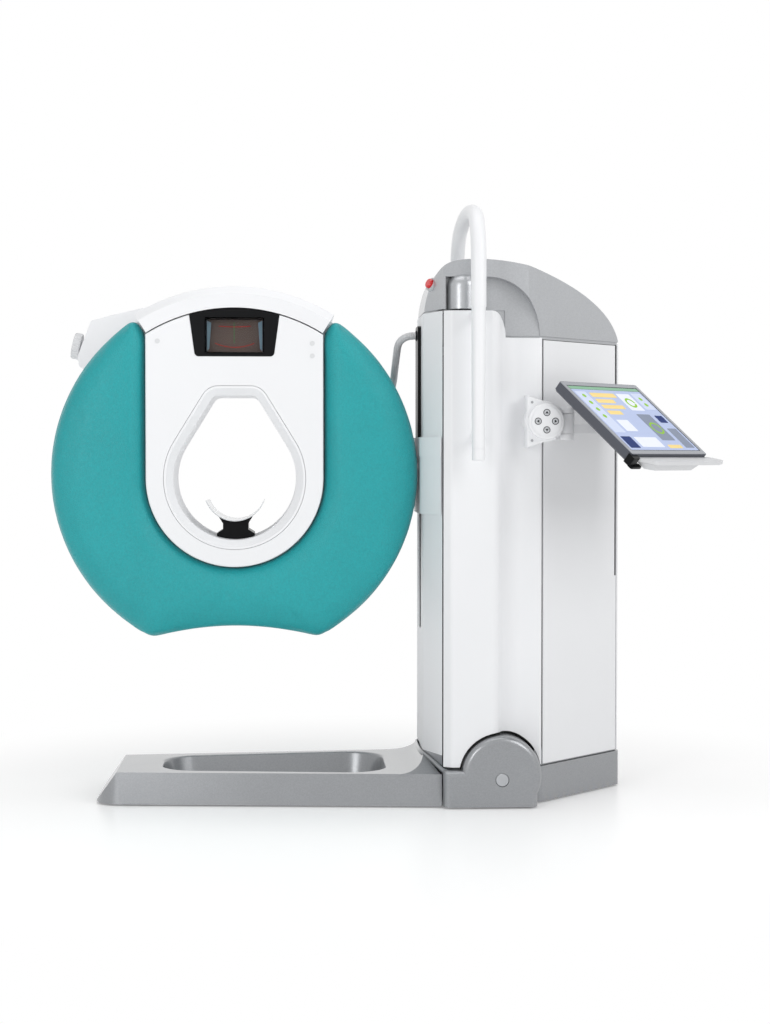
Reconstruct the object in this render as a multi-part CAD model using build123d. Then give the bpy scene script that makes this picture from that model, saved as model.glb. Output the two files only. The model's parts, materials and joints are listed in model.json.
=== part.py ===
from build123d import *
import math
import os

# Upright cone-beam CT scanner for arms and legs, in millimetres.
# While it is modelled, X = 0 and Y = 0 are the gantry's centre, +X runs to the column,
# -Y faces the user and Z = 0 is the floor. At the end all of it moves so that the
# origin is under the middle of the whole machine.

# General fits
WALL = 4.0                 # moulded cover thickness
SEAM = 3.0                 # visible gap between two covers
FIT = 0.5                  # running clearance round a shaft or button
EASE = 1.0                 # clearance between sliding faces

# Gantry
GANTRY_Z = 874.0           # height of the bore and tilt axis above the floor at rest
GANTRY_R = 487.0           # outer radius of the pads
GANTRY_DEPTH = 300.0       # front pad face to rear pad face
PAD_DEPTH = 65.0
PAD_ROUND = 16.0           # rounding of the pad's face edges
PAD_TIP = 18.0             # corner radius of the pad's two top ends
PAD_INSET = 7.0            # how far the shell's rim lies inside the pads
LOBE_ROUND = 27.0          # corner radius of the two bottom lobes
NOTCH_R = 800.0            # radius of the knee notch between the lobes
NOTCH_Z = -404.0           # its highest point, from the axis
SHELL_WALL = 6.0
TOP_R = 497.0              # radius of the bare white ring across the top
TOP_BEVEL = 21.0
TOP_ANGLE = 57.4           # where the pads end, in degrees above the horizontal
FACE_R = 436.0             # top edge of the flat front cover
FACE_HALF = 234.0          # half width of the front cover
FACE_DEPTH = 8.0           # how far the front cover lies behind the pad's face
BORE_R = 163.0
BORE_DROP = 12.0           # the bore's round part is this far below the tilt axis
BORE_LEAN = 31.6           # lean of its straight sides, in degrees
BORE_TOP = 208.5           # height of its flat top
BORE_CORNER = 25.0
BORE_CHAMFER = 18.0
LINING_RIM = BORE_CHAMFER + 6.0      # how far the lining's rim reaches round the bore

# Window over the bore
WINDOW_TOP_HALF = 119.0
WINDOW_LOW_HALF = 104.0
WINDOW_LOW_Z = 310.0
WINDOW_CORNER = 11.0
WINDOW_DEPTH = 52.0
GLASS_WIDE = 156.0
GLASS_TALL = 95.0
GLASS_THICK = 3.0
GLASS_Z = 366.0
GLASS_LEDGE = 3.0

# Limb rest in the bore
TRAY_R = 80.0
TRAY_WALL = 2.5
TRAY_CHORD = 150.0
TRAY_RIM_Z = -71.0
TRAY_LENGTH = 240.0
REST_TOP = 88.0
REST_NECK = 68.0
REST_BASE = 100.0
REST_DEPTH = 120.0
REST_NECK_Z = -141.0

# Positioning pod behind the gantry
POD_FRONT = 96.0
POD_BACK = 196.0
KNOB_D = 73.0
KNOB_LONG = 22.0
KNOB_NECK_R = 16.0
KNOB_GAP = 6.0             # between the pod's wall and the knob's grip
KNOB_SUNK = 12.0           # how deep the neck goes into the pod
KNOB_X = -426.0
KNOB_Z = 349.0
KNOB_TILT = 12.4

# Rotor inside the gantry
ROTOR_IN = 253.0
ROTOR_OUT = 384.0
ROTOR_PLATE = 12.0
ROTOR_Y = 14.0             # front of the rotor plate
RACE_THICK = 14.0
TUBE_OUT = 420.0
TUBE_WIDE = 150.0
DETECTOR_WIDE = 260.0
DETECTOR_IN = 262.0
DETECTOR_THICK = 38.0

# Tilt shaft
SHAFT_R = 35.0
HUB_R = 62.0
HUB_START = 434.0
SHAFT_START = 446.0
SHAFT_END = 575.0

# Column
COLUMN_NOSE = 500.0        # front face of the column
NOSE_HALF = 112.0
SHOULDER_X = 545.0         # where the nose's slanted faces end
SHOULDER_HALF = 223.0
RIB_HALF = 238.0           # half width over the handrail ribs
RIB_END = 688.0
RIB_SHOULDER = 40.0        # width of the rounded corner on top of the rib
PANEL_X = 712.0
PANEL_Y = 176.0            # near face beyond the rib
FLANK_X = 809.0            # near end of the slanted flank
COLUMN_END = 1060.0
FLANK_END_Y = 80.0
FLANK_TRIM = 11.0          # the access panel stops this far from the flank's corners
GROOVE_WIDE = 7.0          # finger groove down the panel's far edge
GROOVE_LOW = 590.0
COLUMN_ROUND = 22.0
FLANK_ROUND = 14.0         # rounding where the near panel turns into the flank
FLANK_WRAP = 2.0           # how far the near panel goes round that corner
NOSE_TOP = 1300.0          # top of the nose and rib covers
BODY_TOP = 1233.0          # top of the covers behind the rib
COVER_LOW = 104.0          # lower edge of the white covers
NOSE_LOW = 136.0           # lower edge of the nose cover, over the base's collar
SLOT_HALF = 42.0           # half width of the carriage's slot in the nose
SLOT_LOW = 455.0
SLOT_HIGH = 1262.0
CAP_GAP = 5.0
CAP_PEAK = 1436.0
CAP_WALL = 6.0
CAP_HALF = 215.0           # half width of the cap over the scoops
SCOOP_START = 552.0        # the scoop over each rib starts behind the nose
SCOOP_X = 665.0            # where its level top turns down
SCOOP_END = 805.0
SCOOP_TOP = 1390.0
BULGE_X = 600.0            # the half-round crest that carries each rib up into the cap
BULGE_R = 42.0
BULGE_TOP = 1396.0
LIP_DEEP = 30.0            # how far the cap's lip goes down inside the covers

# Carriage
TRAVEL_DOWN = 310.0
PLATE_FRONT = 492.0        # front face of the carriage cover
PLATE_LOW = 768.0
PLATE_HIGH = 972.0
BAND_HIGH = 52.0           # raised band along the carriage cover's top
FRAME_X = 512.0
FRAME_THICK = 26.0
FRAME_HALF = 100.0
RAIL_X = 552.0
RAIL_SIDE = 80.0
RAIL_WIDE = 20.0
RAIL_THICK = 8.0
POST_HIGH = 1273.0
POST_HALF = 46.0
POST_THICK = 8.0
SCREW_X = 618.0
SCREW_R = 12.0
MAST_SIDE = 62.0           # inner face of each mast post
MAST_WIDE = 50.0
MAST_DEEP = 110.0

# Handrail
RAIL_TUBE_R = 20.0
RAIL_TUBE_X = 629.0
RAIL_TUBE_Y = 307.0        # legs either side of the column
RAIL_CORNER = 135.0
RAIL_BOW = 12.0            # half angle of the bowed top, in degrees
RAIL_TOP = 1577.0
RAIL_SEAM = 1304.0
RAIL_FOOT = 909.0
SLEEVE_R = 18.5
SLEEVE_LOW_R = 17.0
STANDOFF_Z = (970.0, 1286.0)

# Floor base
FLOOR_GAP = 5.0
CHASSIS_TOP = 96.0         # top of the chassis under the nose
UPSTAND = 40.0             # how far the upstands go up inside the covers
TUB_START = -370.0
TUB_END = 538.0
TUB_START_HALF = 158.0
TUB_END_HALF = 236.0
TUB_TOP = 87.0
TUB_CORNER = 70.0
TUB_DRAFT = 10.0
NOSE_SLOPE = 57.0          # run of the sloped left end over its height
RECESS_START = -200.0
RECESS_END = 404.0
RECESS_START_HALF = 118.0
RECESS_END_HALF = 188.0
RECESS_FLOOR = 18.0
RECESS_CORNER = 100.0
COLLAR_START = 428.0       # where the tub's top starts to rise to the nose
COLLAR_TOP = 131.0
CHASSIS_THICK = 6.0
LINK_HALF = 180.0          # half width of the chassis where it leaves the tub
FOOT_R = 22.0
FOOT_THICK = 6.0

# Wheel covers, wheels and skirt
FENDER_FACE = 258.0
FENDER_START = 545.0
FENDER_END = 792.0
FENDER_LOW_TOP = 100.0
ARCH_R = 105.0
ARCH_X = 698.0
ARCH_Z = 85.0
FENDER_DEEP = 74.0
FENDER_ROUND = 18.0
FENDER_GAP = 7.0
WHEEL_R = 74.0
WHEEL_WIDE = 34.0
WHEEL_Z = 76.0
AXLE_R = 9.0
AXLE_CAP_R = 17.5

# Hand controls
BRACKET_X = 764.0
BRACKET_LOW = 943.0
BRACKET_HIGH = 1080.0
BRACKET_FACE = 232.0       # distance of its face from the machine's middle plane
CONTROL_X = 812.0
CONTROL_Z = 1012.0
CONTROL_BOSS_R = 53.0
CONTROL_FACE = 260.0
ARROW_R = 7.0
ARROW_CIRCLE = 22.5
ARROW_STROKE = 2.0
ARROW_PROUD = 3.0
STOP_X = 517.0
STOP_Y = -150.0
STOP_Z = 1376.0
STOP_R = 13.0
STOP_CUP = 5.0             # wall of the cup round the stop button
STOP_STROKE = 4.0

# Touch screen, set out from the flank's near edge: ALONG it and OUT from it
SCREEN_WIDE = 352.0
SCREEN_TALL = 296.0
SCREEN_THICK = 28.0
SCREEN_TILT = 39.8         # slope of the screen from the horizontal, in degrees
SCREEN_ALONG = 117.0       # middle of the screen along the flank
SCREEN_OUT = 213.5
SCREEN_Z = 1020.0
SCREEN_BEZEL = 16.0
GLASS_SHEET = 2.0
SHELF_DEEP = 62.0
SHELF_THICK = 9.0
SWIVEL_ALONG = 22.0
SWIVEL_OUT = 62.0
SWIVEL_R = 24.0
SWIVEL_PIN_R = 8.0
KNUCKLE_LOW = 980.0        # the arm's knuckle between the fork's two lugs
KNUCKLE_HIGH = 1032.0
LUG_THICK = 16.0
LINK_WIDE = 34.0
LINK_HIGH = 24.0
BARREL_R = 15.0
BARREL_BACK = 24.0         # hinge axis behind the screen's back face
BARREL_UP = 70.0           # and above the screen's middle, along its slope
LUG_WIDE = 20.0
BARREL_WIDE = 61.0
PIN_R = 6.0

# Cable hose, from the post's head round the back of the gantry
HOSE_R = 10.0
HOSE_HEAD_Z = 1249.0
GLAND_X = 200.0            # the gland's base on the rear cover
GLAND_Z = 60.0             # height above the tilt axis
GLAND_REACH = 40.0
GLAND_STAND = 24.0         # the hose's height over the rear cover
HOSE_SOCKET = 3.0
HOSE_BENDS = [(471, 0, 1249), (452, 8, 1241), (441, 22, 1227), (439, 54, 1197), (437, 100, 1163),
              (436, 150, 1126), (424, 189, 1082), (398, 206, 1030), (358, 206, 981), (316, 186, 948),
              (276, 166, 934)]

HALF = GANTRY_DEPTH / 2
AXIS = Pos(0, 0, GANTRY_Z)

# The mast stands behind the rails
MAST_X = RAIL_X + RAIL_THICK
MAST_TOP = BODY_TOP - 38


def upright(shape, front, depth):
    """An outline drawn in X and Z, solid from Y = front back to front + depth."""
    plane = Plane(origin=(0, front + depth, 0), x_dir=(1, 0, 0), z_dir=(0, -1, 0))
    return extrude(plane * shape, amount=depth)


def flat(shape, low, high):
    """A plan outline drawn in X and Y, solid between two heights."""
    return extrude(Plane.XY.offset(low) * shape, amount=high - low)


def block(x0, x1, y0, y1, z0, z1):
    """A plain block between two corners."""
    middle = Pos((x0 + x1) / 2, (y0 + y1) / 2, (z0 + z1) / 2)
    return middle * Box(x1 - x0, y1 - y0, z1 - z0)


def outline(*points):
    """A closed outline of straight sides."""
    return Polygon(*points, align=None)


def rod_x(radius, start, end, y, z):
    """A round bar along X."""
    return Pos((start + end) / 2, y, z) * Rot(0, 90, 0) * Cylinder(radius, end - start)


def rod_y(radius, start, end, x, z):
    """A round bar along Y."""
    return Pos(x, (start + end) / 2, z) * Rot(90, 0, 0) * Cylinder(radius, end - start)


def rod_z(radius, low, high, x, y):
    """A round bar along Z."""
    return Pos(x, y, (low + high) / 2) * Cylinder(radius, high - low)


def mirrored(shape):
    """The same shape on the far side."""
    return mirror(shape, about=Plane.XZ)


# Gantry outlines, drawn about the tilt axis

def disc_outline(grow):
    """The gantry seen from the front: a disc with a knee notch, grown all round."""
    notch = Pos(0, NOTCH_Z - NOTCH_R) * Circle(NOTCH_R - grow)
    disc = Circle(GANTRY_R + grow) - notch
    return fillet(disc.vertices(), LOBE_ROUND + grow)


def channel_outline(grow):
    """The U-shaped way through the pad that the front cover stands in."""
    half = FACE_HALF + grow
    bowl = Pos(0, -BORE_DROP) * Circle(half)
    sides = outline((-half, -BORE_DROP), (half, -BORE_DROP), (half, GANTRY_R), (-half, GANTRY_R))
    return bowl + sides


def face_outline(grow):
    """The front cover: a U with a round bottom and a top that follows the ring."""
    return channel_outline(grow) & Circle(FACE_R + grow)


def bore_outline(grow):
    """The pear-shaped bore: a circle drawn up to a narrow flat top."""
    radius = BORE_R + grow
    lean = math.radians(BORE_LEAN)
    touch_x = radius * math.cos(lean)
    touch_z = radius * math.sin(lean) - BORE_DROP
    top = BORE_TOP + grow
    top_x = touch_x - (top - touch_z) * math.tan(lean)
    neck = outline((touch_x, touch_z), (top_x, top), (-top_x, top), (-touch_x, touch_z))
    pear = Pos(0, -BORE_DROP) * Circle(radius) + neck
    corners = pear.vertices().sort_by(Axis.Y)[-2:]
    return fillet(corners, BORE_CORNER + grow)


def wedge_outline(angle, reach):
    """The upward sector above a given angle on both sides."""
    x = reach * math.cos(math.radians(angle))
    z = reach * math.sin(math.radians(angle))
    return outline((0, 0), (x, z), (x, reach + z), (-x, reach + z), (-x, z))


def window_outline(grow):
    """The window's black surround: wider at the top, which follows the ring."""
    low = WINDOW_LOW_Z - grow
    rise = math.sqrt(FACE_R ** 2 - WINDOW_TOP_HALF ** 2) - WINDOW_LOW_Z
    slope = (WINDOW_TOP_HALF - WINDOW_LOW_HALF) / rise
    top_half = WINDOW_LOW_HALF + grow + slope * (FACE_R - WINDOW_LOW_Z)
    low_half = WINDOW_LOW_HALF + grow
    frame = outline((-low_half, low), (low_half, low), (top_half, FACE_R), (-top_half, FACE_R))
    frame = frame & Circle(FACE_R + grow)
    return fillet(frame.vertices().sort_by(Axis.Y)[:2], WINDOW_CORNER)


def pad():
    """The front pad: a puffy U round the cover, with two rounded top ends."""
    shape = disc_outline(0) - channel_outline(SEAM) - wedge_outline(TOP_ANGLE, 2 * GANTRY_R)
    tips = shape.vertices().sort_by(Axis.Y)[-4:]
    shape = fillet(tips, PAD_TIP)
    body = upright(shape, -HALF, PAD_DEPTH)
    front = body.faces().sort_by(Axis.Y)[0]
    return fillet(front.edges(), PAD_ROUND)


def ring_shell():
    """The white shell: a rim wall, two side plates and the thick ring across the top."""
    inner = HALF - PAD_DEPTH
    rim = upright(disc_outline(-PAD_INSET), -inner, 2 * inner)
    face = HALF - FACE_DEPTH
    arc = Circle(TOP_R) - Circle(FACE_R + SEAM)
    arc = arc & wedge_outline(TOP_ANGLE + 0.6, 2 * GANTRY_R)
    top = upright(arc, -face, 2 * face)
    outer = top.edges().filter_by(GeomType.CIRCLE).sort_by(lambda e: e.radius)[-2:]
    top = chamfer(outer, TOP_BEVEL)
    shell = rim + top
    cavity = upright(disc_outline(-PAD_INSET - SHELL_WALL), SHELL_WALL - inner,
                     2 * (inner - SHELL_WALL))
    opening = upright(face_outline(-2 * SHELL_WALL), -HALF, GANTRY_DEPTH)
    hole = rod_x(SHAFT_R + FIT, HUB_START, TOP_R, 0, 0)
    return shell - cavity - opening - hole


def bore_lining():
    """Half of the bore's wall with its chamfered mouth, set into the face cover."""
    inner = HALF - PAD_DEPTH
    face = HALF - FACE_DEPTH
    lining = upright(bore_outline(LINING_RIM), -face, face - inner)
    lining = lining + upright(bore_outline(SHELL_WALL), -inner - EASE, inner + EASE)
    lining = lining - upright(bore_outline(0), -HALF, HALF)
    mouth = lining.faces().sort_by(Axis.Y)[0].inner_wires()[0].edges()
    return chamfer(mouth, BORE_CHAMFER)


def face_cover(with_window):
    """The white cover inside the pad, with the bore's lining seated in it."""
    inner = HALF - PAD_DEPTH
    face = HALF - FACE_DEPTH
    cover = upright(face_outline(0), -face, face - inner)
    cover = fillet(cover.faces().sort_by(Axis.Y)[0].edges(), WALL)
    cover = cover - upright(bore_outline(LINING_RIM + EASE), -HALF, HALF)
    pocket = face_outline(-SHELL_WALL) - bore_outline(LINING_RIM + EASE + SHELL_WALL)
    hollow = upright(pocket, -face + BORE_CHAMFER / 2, face - inner)
    if with_window:
        hollow = hollow - upright(window_outline(SHELL_WALL), -face, face)
        cover = cover - upright(window_outline(0), -HALF, WINDOW_DEPTH + FACE_DEPTH)
    return Compound(solids_of([cover - hollow, bore_lining()]))


def window_bezel():
    """The black box behind the window, with a ledge that the glass sits on."""
    face = HALF - FACE_DEPTH
    box = upright(window_outline(-FIT), -face - EASE, WINDOW_DEPTH)
    seat = Pos(0, GLASS_Z) * Rectangle(GLASS_WIDE, GLASS_TALL)
    room = Pos(0, GLASS_Z) * Rectangle(GLASS_WIDE - 2 * GLASS_LEDGE, GLASS_TALL - 2 * GLASS_LEDGE)
    box = box - upright(seat, -face - EASE, 2 * GLASS_THICK)
    return box - upright(room, -face - EASE, WINDOW_DEPTH - SHELL_WALL)


def window_glass():
    """The flat glass, resting on the ledge."""
    face = HALF - FACE_DEPTH
    pane = Pos(0, GLASS_Z) * Rectangle(GLASS_WIDE, GLASS_TALL)
    return upright(pane, -face - EASE + GLASS_THICK, GLASS_THICK)


def tray_centre():
    """Height of the tray's centre of curvature above the tilt axis."""
    return TRAY_RIM_Z + math.sqrt(TRAY_R ** 2 - (TRAY_CHORD / 2) ** 2)


def rest_tray():
    """A thin clear half-pipe that holds the limb."""
    arc = Circle(TRAY_R + TRAY_WALL) - Circle(TRAY_R)
    arc = Pos(0, tray_centre()) * arc
    below = outline((-TRAY_R * 2, TRAY_RIM_Z), (TRAY_R * 2, TRAY_RIM_Z),
                    (TRAY_R * 2, -BORE_R * 2), (-TRAY_R * 2, -BORE_R * 2))
    return upright(arc & below, -TRAY_LENGTH / 2, TRAY_LENGTH)


def rest_stand():
    """The black pedestal between the bore's floor and the tray."""
    low = -BORE_DROP - BORE_R
    tray_low = tray_centre() - TRAY_R
    half_neck = REST_NECK / 2
    profile = outline(
        (-REST_BASE / 2, low - SHELL_WALL), (REST_BASE / 2, low - SHELL_WALL),
        (REST_BASE / 2, low + 16), (half_neck, REST_NECK_Z - 8), (half_neck, REST_NECK_Z + 8),
        (REST_TOP / 2, tray_low + 6), (REST_TOP / 2, tray_low + 14),
        (-REST_TOP / 2, tray_low + 14), (-REST_TOP / 2, tray_low + 6),
        (-half_neck, REST_NECK_Z + 8), (-half_neck, REST_NECK_Z - 8), (-REST_BASE / 2, low + 16))
    profile = profile - Pos(0, tray_centre()) * Circle(TRAY_R + TRAY_WALL)
    profile = profile & Pos(0, -BORE_DROP) * Circle(BORE_R)
    return upright(profile, -REST_DEPTH / 2, REST_DEPTH)


def pod_housing():
    """The positioning pod that clings to the back of the ring, upper left."""
    shape = outline((-224, 463), (-336, 437), (-400, 420), (-437, 320), (-432, 292),
                    (-330, 270), (-190, 380))
    shape = fillet(shape.vertices().sort_by(Axis.X)[:3], 10)
    body = upright(shape, POD_FRONT, POD_BACK - POD_FRONT)
    rim = body.faces().sort_by(Axis.Y)[-1]
    body = fillet(rim.edges(), 8)
    body = body - upright(Circle(GANTRY_R), POD_FRONT, HALF - POD_FRONT)
    white = Circle(TOP_R) & wedge_outline(TOP_ANGLE, 2 * TOP_R)
    body = body - upright(white, POD_FRONT, HALF - POD_FRONT)
    return body - knob_frame() * Cylinder(KNOB_NECK_R + FIT, 2 * KNOB_SUNK + 2)


def knob_frame():
    """A frame where the knob meets the pod's wall, Z pointing out along its axis."""
    tilt = math.radians(KNOB_TILT)
    origin = (KNOB_X, (POD_FRONT + POD_BACK) / 2, KNOB_Z)
    return Plane(origin=origin, z_dir=(-math.cos(tilt), 0, math.sin(tilt)))


def pod_knob():
    """The fluted clamping knob on the pod's outer end."""
    grip = Pos(0, 0, KNOB_GAP + KNOB_LONG / 2) * Cylinder(KNOB_D / 2, KNOB_LONG)
    grip = fillet(grip.edges(), 4)
    neck = Pos(0, 0, (KNOB_GAP - KNOB_SUNK) / 2) * Cylinder(KNOB_NECK_R, KNOB_GAP + KNOB_SUNK)
    flutes = [place * Cylinder(5, KNOB_LONG * 4) for place in PolarLocations(KNOB_D / 2 + 3, 12)]
    return knob_frame() * ((grip - flutes) + neck)


def gantry_frame():
    """The cast backplate that carries the rotor bearing, with the tilt hub at its side."""
    inner = HALF - PAD_DEPTH - SHELL_WALL
    plate = disc_outline(-PAD_INSET - SHELL_WALL - EASE) - Circle(ROTOR_IN - RACE_THICK)
    body = upright(plate, inner - 20, 20)
    lip = GANTRY_R - PAD_INSET - SHELL_WALL
    hub = block(HUB_START, lip, -HUB_R, inner, -HUB_R, HUB_R)
    hub = hub & upright(Circle(lip - EASE), -HALF, GANTRY_DEPTH)
    bore = rod_x(SHAFT_R, SHAFT_START, TOP_R, 0, 0)
    ribs = block(ROTOR_OUT + 30, HUB_START, inner - 34, inner - 20, -HUB_R, HUB_R)
    return body + hub + ribs - bore


def tilt_shaft():
    """The hollow shaft that the whole gantry turns on, with a collar inside the carriage."""
    shaft = rod_x(SHAFT_R, SHAFT_START, SHAFT_END, 0, 0)
    return shaft - rod_x(SHAFT_R - 13, SHAFT_START + 8, SHAFT_END + 1, 0, 0)


def rotor_bearing():
    """The fixed race that the rotor turns on."""
    back = HALF - PAD_DEPTH - SHELL_WALL - 20
    race = Circle(ROTOR_IN - EASE) - Circle(ROTOR_IN - RACE_THICK)
    return upright(race, back - 24, 24)


def rotor_ring():
    """The turning ring: a plate with a collar over the race and lightening holes."""
    back = HALF - PAD_DEPTH - SHELL_WALL - 20
    plate = upright(Circle(ROTOR_OUT) - Circle(ROTOR_IN), ROTOR_Y, ROTOR_PLATE)
    collar = upright(Circle(ROTOR_IN + 9) - Circle(ROTOR_IN), ROTOR_Y, back - 4 - ROTOR_Y)
    middle = (ROTOR_IN + ROTOR_OUT) / 2
    holes = [Pos(p.position.X, 0, p.position.Y) * Rot(90, 0, 0) * Cylinder(26, HALF)
             for p in PolarLocations(middle, 8, start_angle=22.5)]
    return plate + collar - holes


def tube_head():
    """The x-ray tube's housing with its collimator, at the top of the rotor."""
    depth = 80.0
    low = ROTOR_IN + 26
    tube = block(-TUBE_WIDE / 2, TUBE_WIDE / 2, ROTOR_Y - depth, ROTOR_Y, low, TUBE_OUT - 10)
    tube = chamfer(tube.edges().filter_by(Axis.Y), 14)
    cone = Solid.make_cone(34, 22, 24, Plane(origin=(0, ROTOR_Y - depth / 2, low), z_dir=(0, 0, -1)))
    return tube + cone


def detector():
    """The flat-panel detector opposite the tube."""
    half = DETECTOR_WIDE / 2
    low = -DETECTOR_IN - DETECTOR_THICK
    return block(-half, half, ROTOR_Y - 84, ROTOR_Y, low, -DETECTOR_IN)


def hose_gland():
    """The gland on the rear cover that takes the hose from the side."""
    back = HALF - FACE_DEPTH
    base = rod_y(HOSE_R + 14, back, back + GLAND_STAND + HOSE_R, GLAND_X, GLAND_Z)
    base = fillet(base.faces().sort_by(Axis.Y)[-1].edges(), 5)
    nozzle = rod_x(HOSE_R + 3, GLAND_X, GLAND_X + GLAND_REACH, back + GLAND_STAND, GLAND_Z)
    nut = rod_x(HOSE_R + 6, GLAND_X + 22, GLAND_X + 31, back + GLAND_STAND, GLAND_Z)
    return base + nozzle + nut


# Column

def column_plan():
    """The column's plan: a slim nose, a rib each side, and a slanted flank on the near side."""
    points = [
        (COLUMN_NOSE, NOSE_HALF), (COLUMN_NOSE, -NOSE_HALF), (SHOULDER_X, -SHOULDER_HALF),
        (SHOULDER_X + 21, -RIB_HALF), (RIB_END, -RIB_HALF), (PANEL_X, -PANEL_Y),
        (FLANK_X, -PANEL_Y), (COLUMN_END, FLANK_END_Y), (COLUMN_END, PANEL_Y),
        (PANEL_X, PANEL_Y), (RIB_END, RIB_HALF), (SHOULDER_X + 21, RIB_HALF),
        (SHOULDER_X, SHOULDER_HALF)]
    plan = outline(*points)
    for x, y, radius in ((COLUMN_NOSE, NOSE_HALF, 40), (SHOULDER_X + 21, RIB_HALF, 16),
                         (RIB_END, RIB_HALF, 30), (PANEL_X, PANEL_Y, 60)):
        for side in (-y, y):
            plan = fillet(corner(plan, x, side), radius)
    plan = fillet(corner(plan, FLANK_X, -PANEL_Y), FLANK_ROUND)
    plan = fillet(corner(plan, COLUMN_END, FLANK_END_Y), COLUMN_ROUND)
    return fillet(corner(plan, COLUMN_END, PANEL_Y), 3 * COLUMN_ROUND)


def corner(shape, x, y):
    """The vertex of a plan outline nearest to a point."""
    return shape.vertices().sort_by(lambda v: (v.X - x) ** 2 + (v.Y - y) ** 2)[:1]


def plan_ring(outer, inner, low, high):
    """A closed wall that follows the column's plan between two offsets."""
    plan = column_plan()
    wall = flat(plan if outer == 0 else offset(plan, outer), low, high)
    return wall - flat(offset(plan, inner), low, high)


def above_body():
    """What is cut from a side cover above the body, with the rib's rounded top corner."""
    cut = block(PANEL_X, COLUMN_END * 2, -RIB_HALF * 2, RIB_HALF * 2, BODY_TOP, NOSE_TOP + 1)
    start = PANEL_X - RIB_SHOULDER
    quarter = block(start, PANEL_X, -RIB_HALF * 2, RIB_HALF * 2, BODY_TOP, NOSE_TOP + 1)
    round_top = Pos(start, BODY_TOP) * Ellipse(RIB_SHOULDER, NOSE_TOP - BODY_TOP)
    return cut + (quarter - upright(round_top, -RIB_HALF * 2, RIB_HALF * 4))


def fender_profile(grow):
    """The wheel cover seen from the side: a low shoulder that runs into a round arch."""
    arch = Pos(ARCH_X, ARCH_Z) * Circle(ARCH_R + grow)
    low = outline((FENDER_START - grow, FLOOR_GAP), (FENDER_END + grow, FLOOR_GAP),
                  (FENDER_END + grow, ARCH_Z), (ARCH_X, ARCH_Z),
                  (ARCH_X, FENDER_LOW_TOP + grow), (FENDER_START - grow, FENDER_LOW_TOP + grow))
    shape = arch + low
    below = outline((0, -ARCH_R * 2), (COLUMN_END, -ARCH_R * 2), (COLUMN_END, FLOOR_GAP),
                    (0, FLOOR_GAP))
    return shape - below


def flank_strip(thick_in, thick_out, trim):
    """Plan of the slanted flank between its two corners, short by a trim at each end."""
    run = Vector(COLUMN_END - FLANK_X, FLANK_END_Y + PANEL_Y)
    along = run.normalized()
    out = Vector(along.Y, -along.X)
    start = Vector(FLANK_X, -PANEL_Y) + along * trim
    end = Vector(COLUMN_END, FLANK_END_Y) - along * trim
    corners = [start + out * thick_out, end + out * thick_out,
               end - out * thick_in, start - out * thick_in]
    return outline(*[(c.X, c.Y) for c in corners])


def nose_cover():
    """The front cover that faces the gantry, with the carriage's slot."""
    shell = plan_ring(0, -WALL, NOSE_LOW, NOSE_TOP)
    shell = shell & block(0, SHOULDER_X - SEAM / 2, -RIB_HALF, RIB_HALF, 0, NOSE_TOP)
    return shell - block(0, SHOULDER_X, -SLOT_HALF, SLOT_HALF, SLOT_LOW, SLOT_HIGH)


def column_cover(side):
    """A side cover: the handrail rib and the set-back panel behind it."""
    end = FLANK_X + FLANK_WRAP if side < 0 else COLUMN_END - 4 * COLUMN_ROUND
    shell = plan_ring(0, -WALL, COVER_LOW, NOSE_TOP) - above_body()
    column = flat(column_plan(), BODY_TOP - WALL, NOSE_TOP) - above_body()
    roof = column - Pos(0, 0, -WALL) * column
    roof = roof & block(SHOULDER_X, PANEL_X, -RIB_HALF, WALL - PANEL_Y, BODY_TOP, NOSE_TOP)
    half = block(SHOULDER_X + SEAM / 2, end, -RIB_HALF * 2, 0, 0, NOSE_TOP + 1)
    if side > 0:
        half, roof = mirrored(half), mirrored(roof)
    arch = upright(fender_profile(FENDER_GAP), -RIB_HALF * 2, RIB_HALF * 4)
    return ((shell + roof) & half) - arch


def flank_panel():
    """The flat access panel on the slanted flank, with a finger groove down one edge."""
    panel = flat(flank_strip(WALL, 0, FLANK_TRIM), COVER_LOW, BODY_TOP - CAP_GAP)
    edge = flank_strip(WALL, WALL, FLANK_TRIM) - flank_strip(2 * WALL, 2 * WALL, FLANK_TRIM + GROOVE_WIDE)
    groove = flat(edge, GROOVE_LOW, BODY_TOP)
    near_half = block(0, (FLANK_X + COLUMN_END) / 2, -COLUMN_END, COLUMN_END, 0, BODY_TOP)
    return panel - (groove - near_half)


def rear_panel():
    """The end cover that wraps the column's back corner."""
    shell = plan_ring(0, -WALL, COVER_LOW, BODY_TOP)
    start = COLUMN_END - 4 * COLUMN_ROUND + SEAM
    shell = shell & block(start, COLUMN_END * 2, -COLUMN_END, COLUMN_END, 0, BODY_TOP)
    return shell - flat(flank_strip(2 * WALL, WALL, FLANK_TRIM - SEAM), 0, BODY_TOP)


def skirt():
    """The grey plinth round the column's foot, with the upstand that the covers fit over."""
    upstand = plan_ring(-WALL, -2 * WALL, COVER_LOW - WALL, COVER_LOW + UPSTAND)
    plinth = plan_ring(SEAM, -2 * WALL, FLOOR_GAP, COVER_LOW - CAP_GAP)
    behind = block(FENDER_END, COLUMN_END * 2, -COLUMN_END, COLUMN_END, 0, NOSE_TOP)
    fender_room = upright(fender_profile(EASE), -FENDER_FACE - 1, FENDER_DEEP + 1)
    fender_room = fender_room + mirrored(fender_room)
    return ((upstand + plinth) & behind) - fender_room


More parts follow.
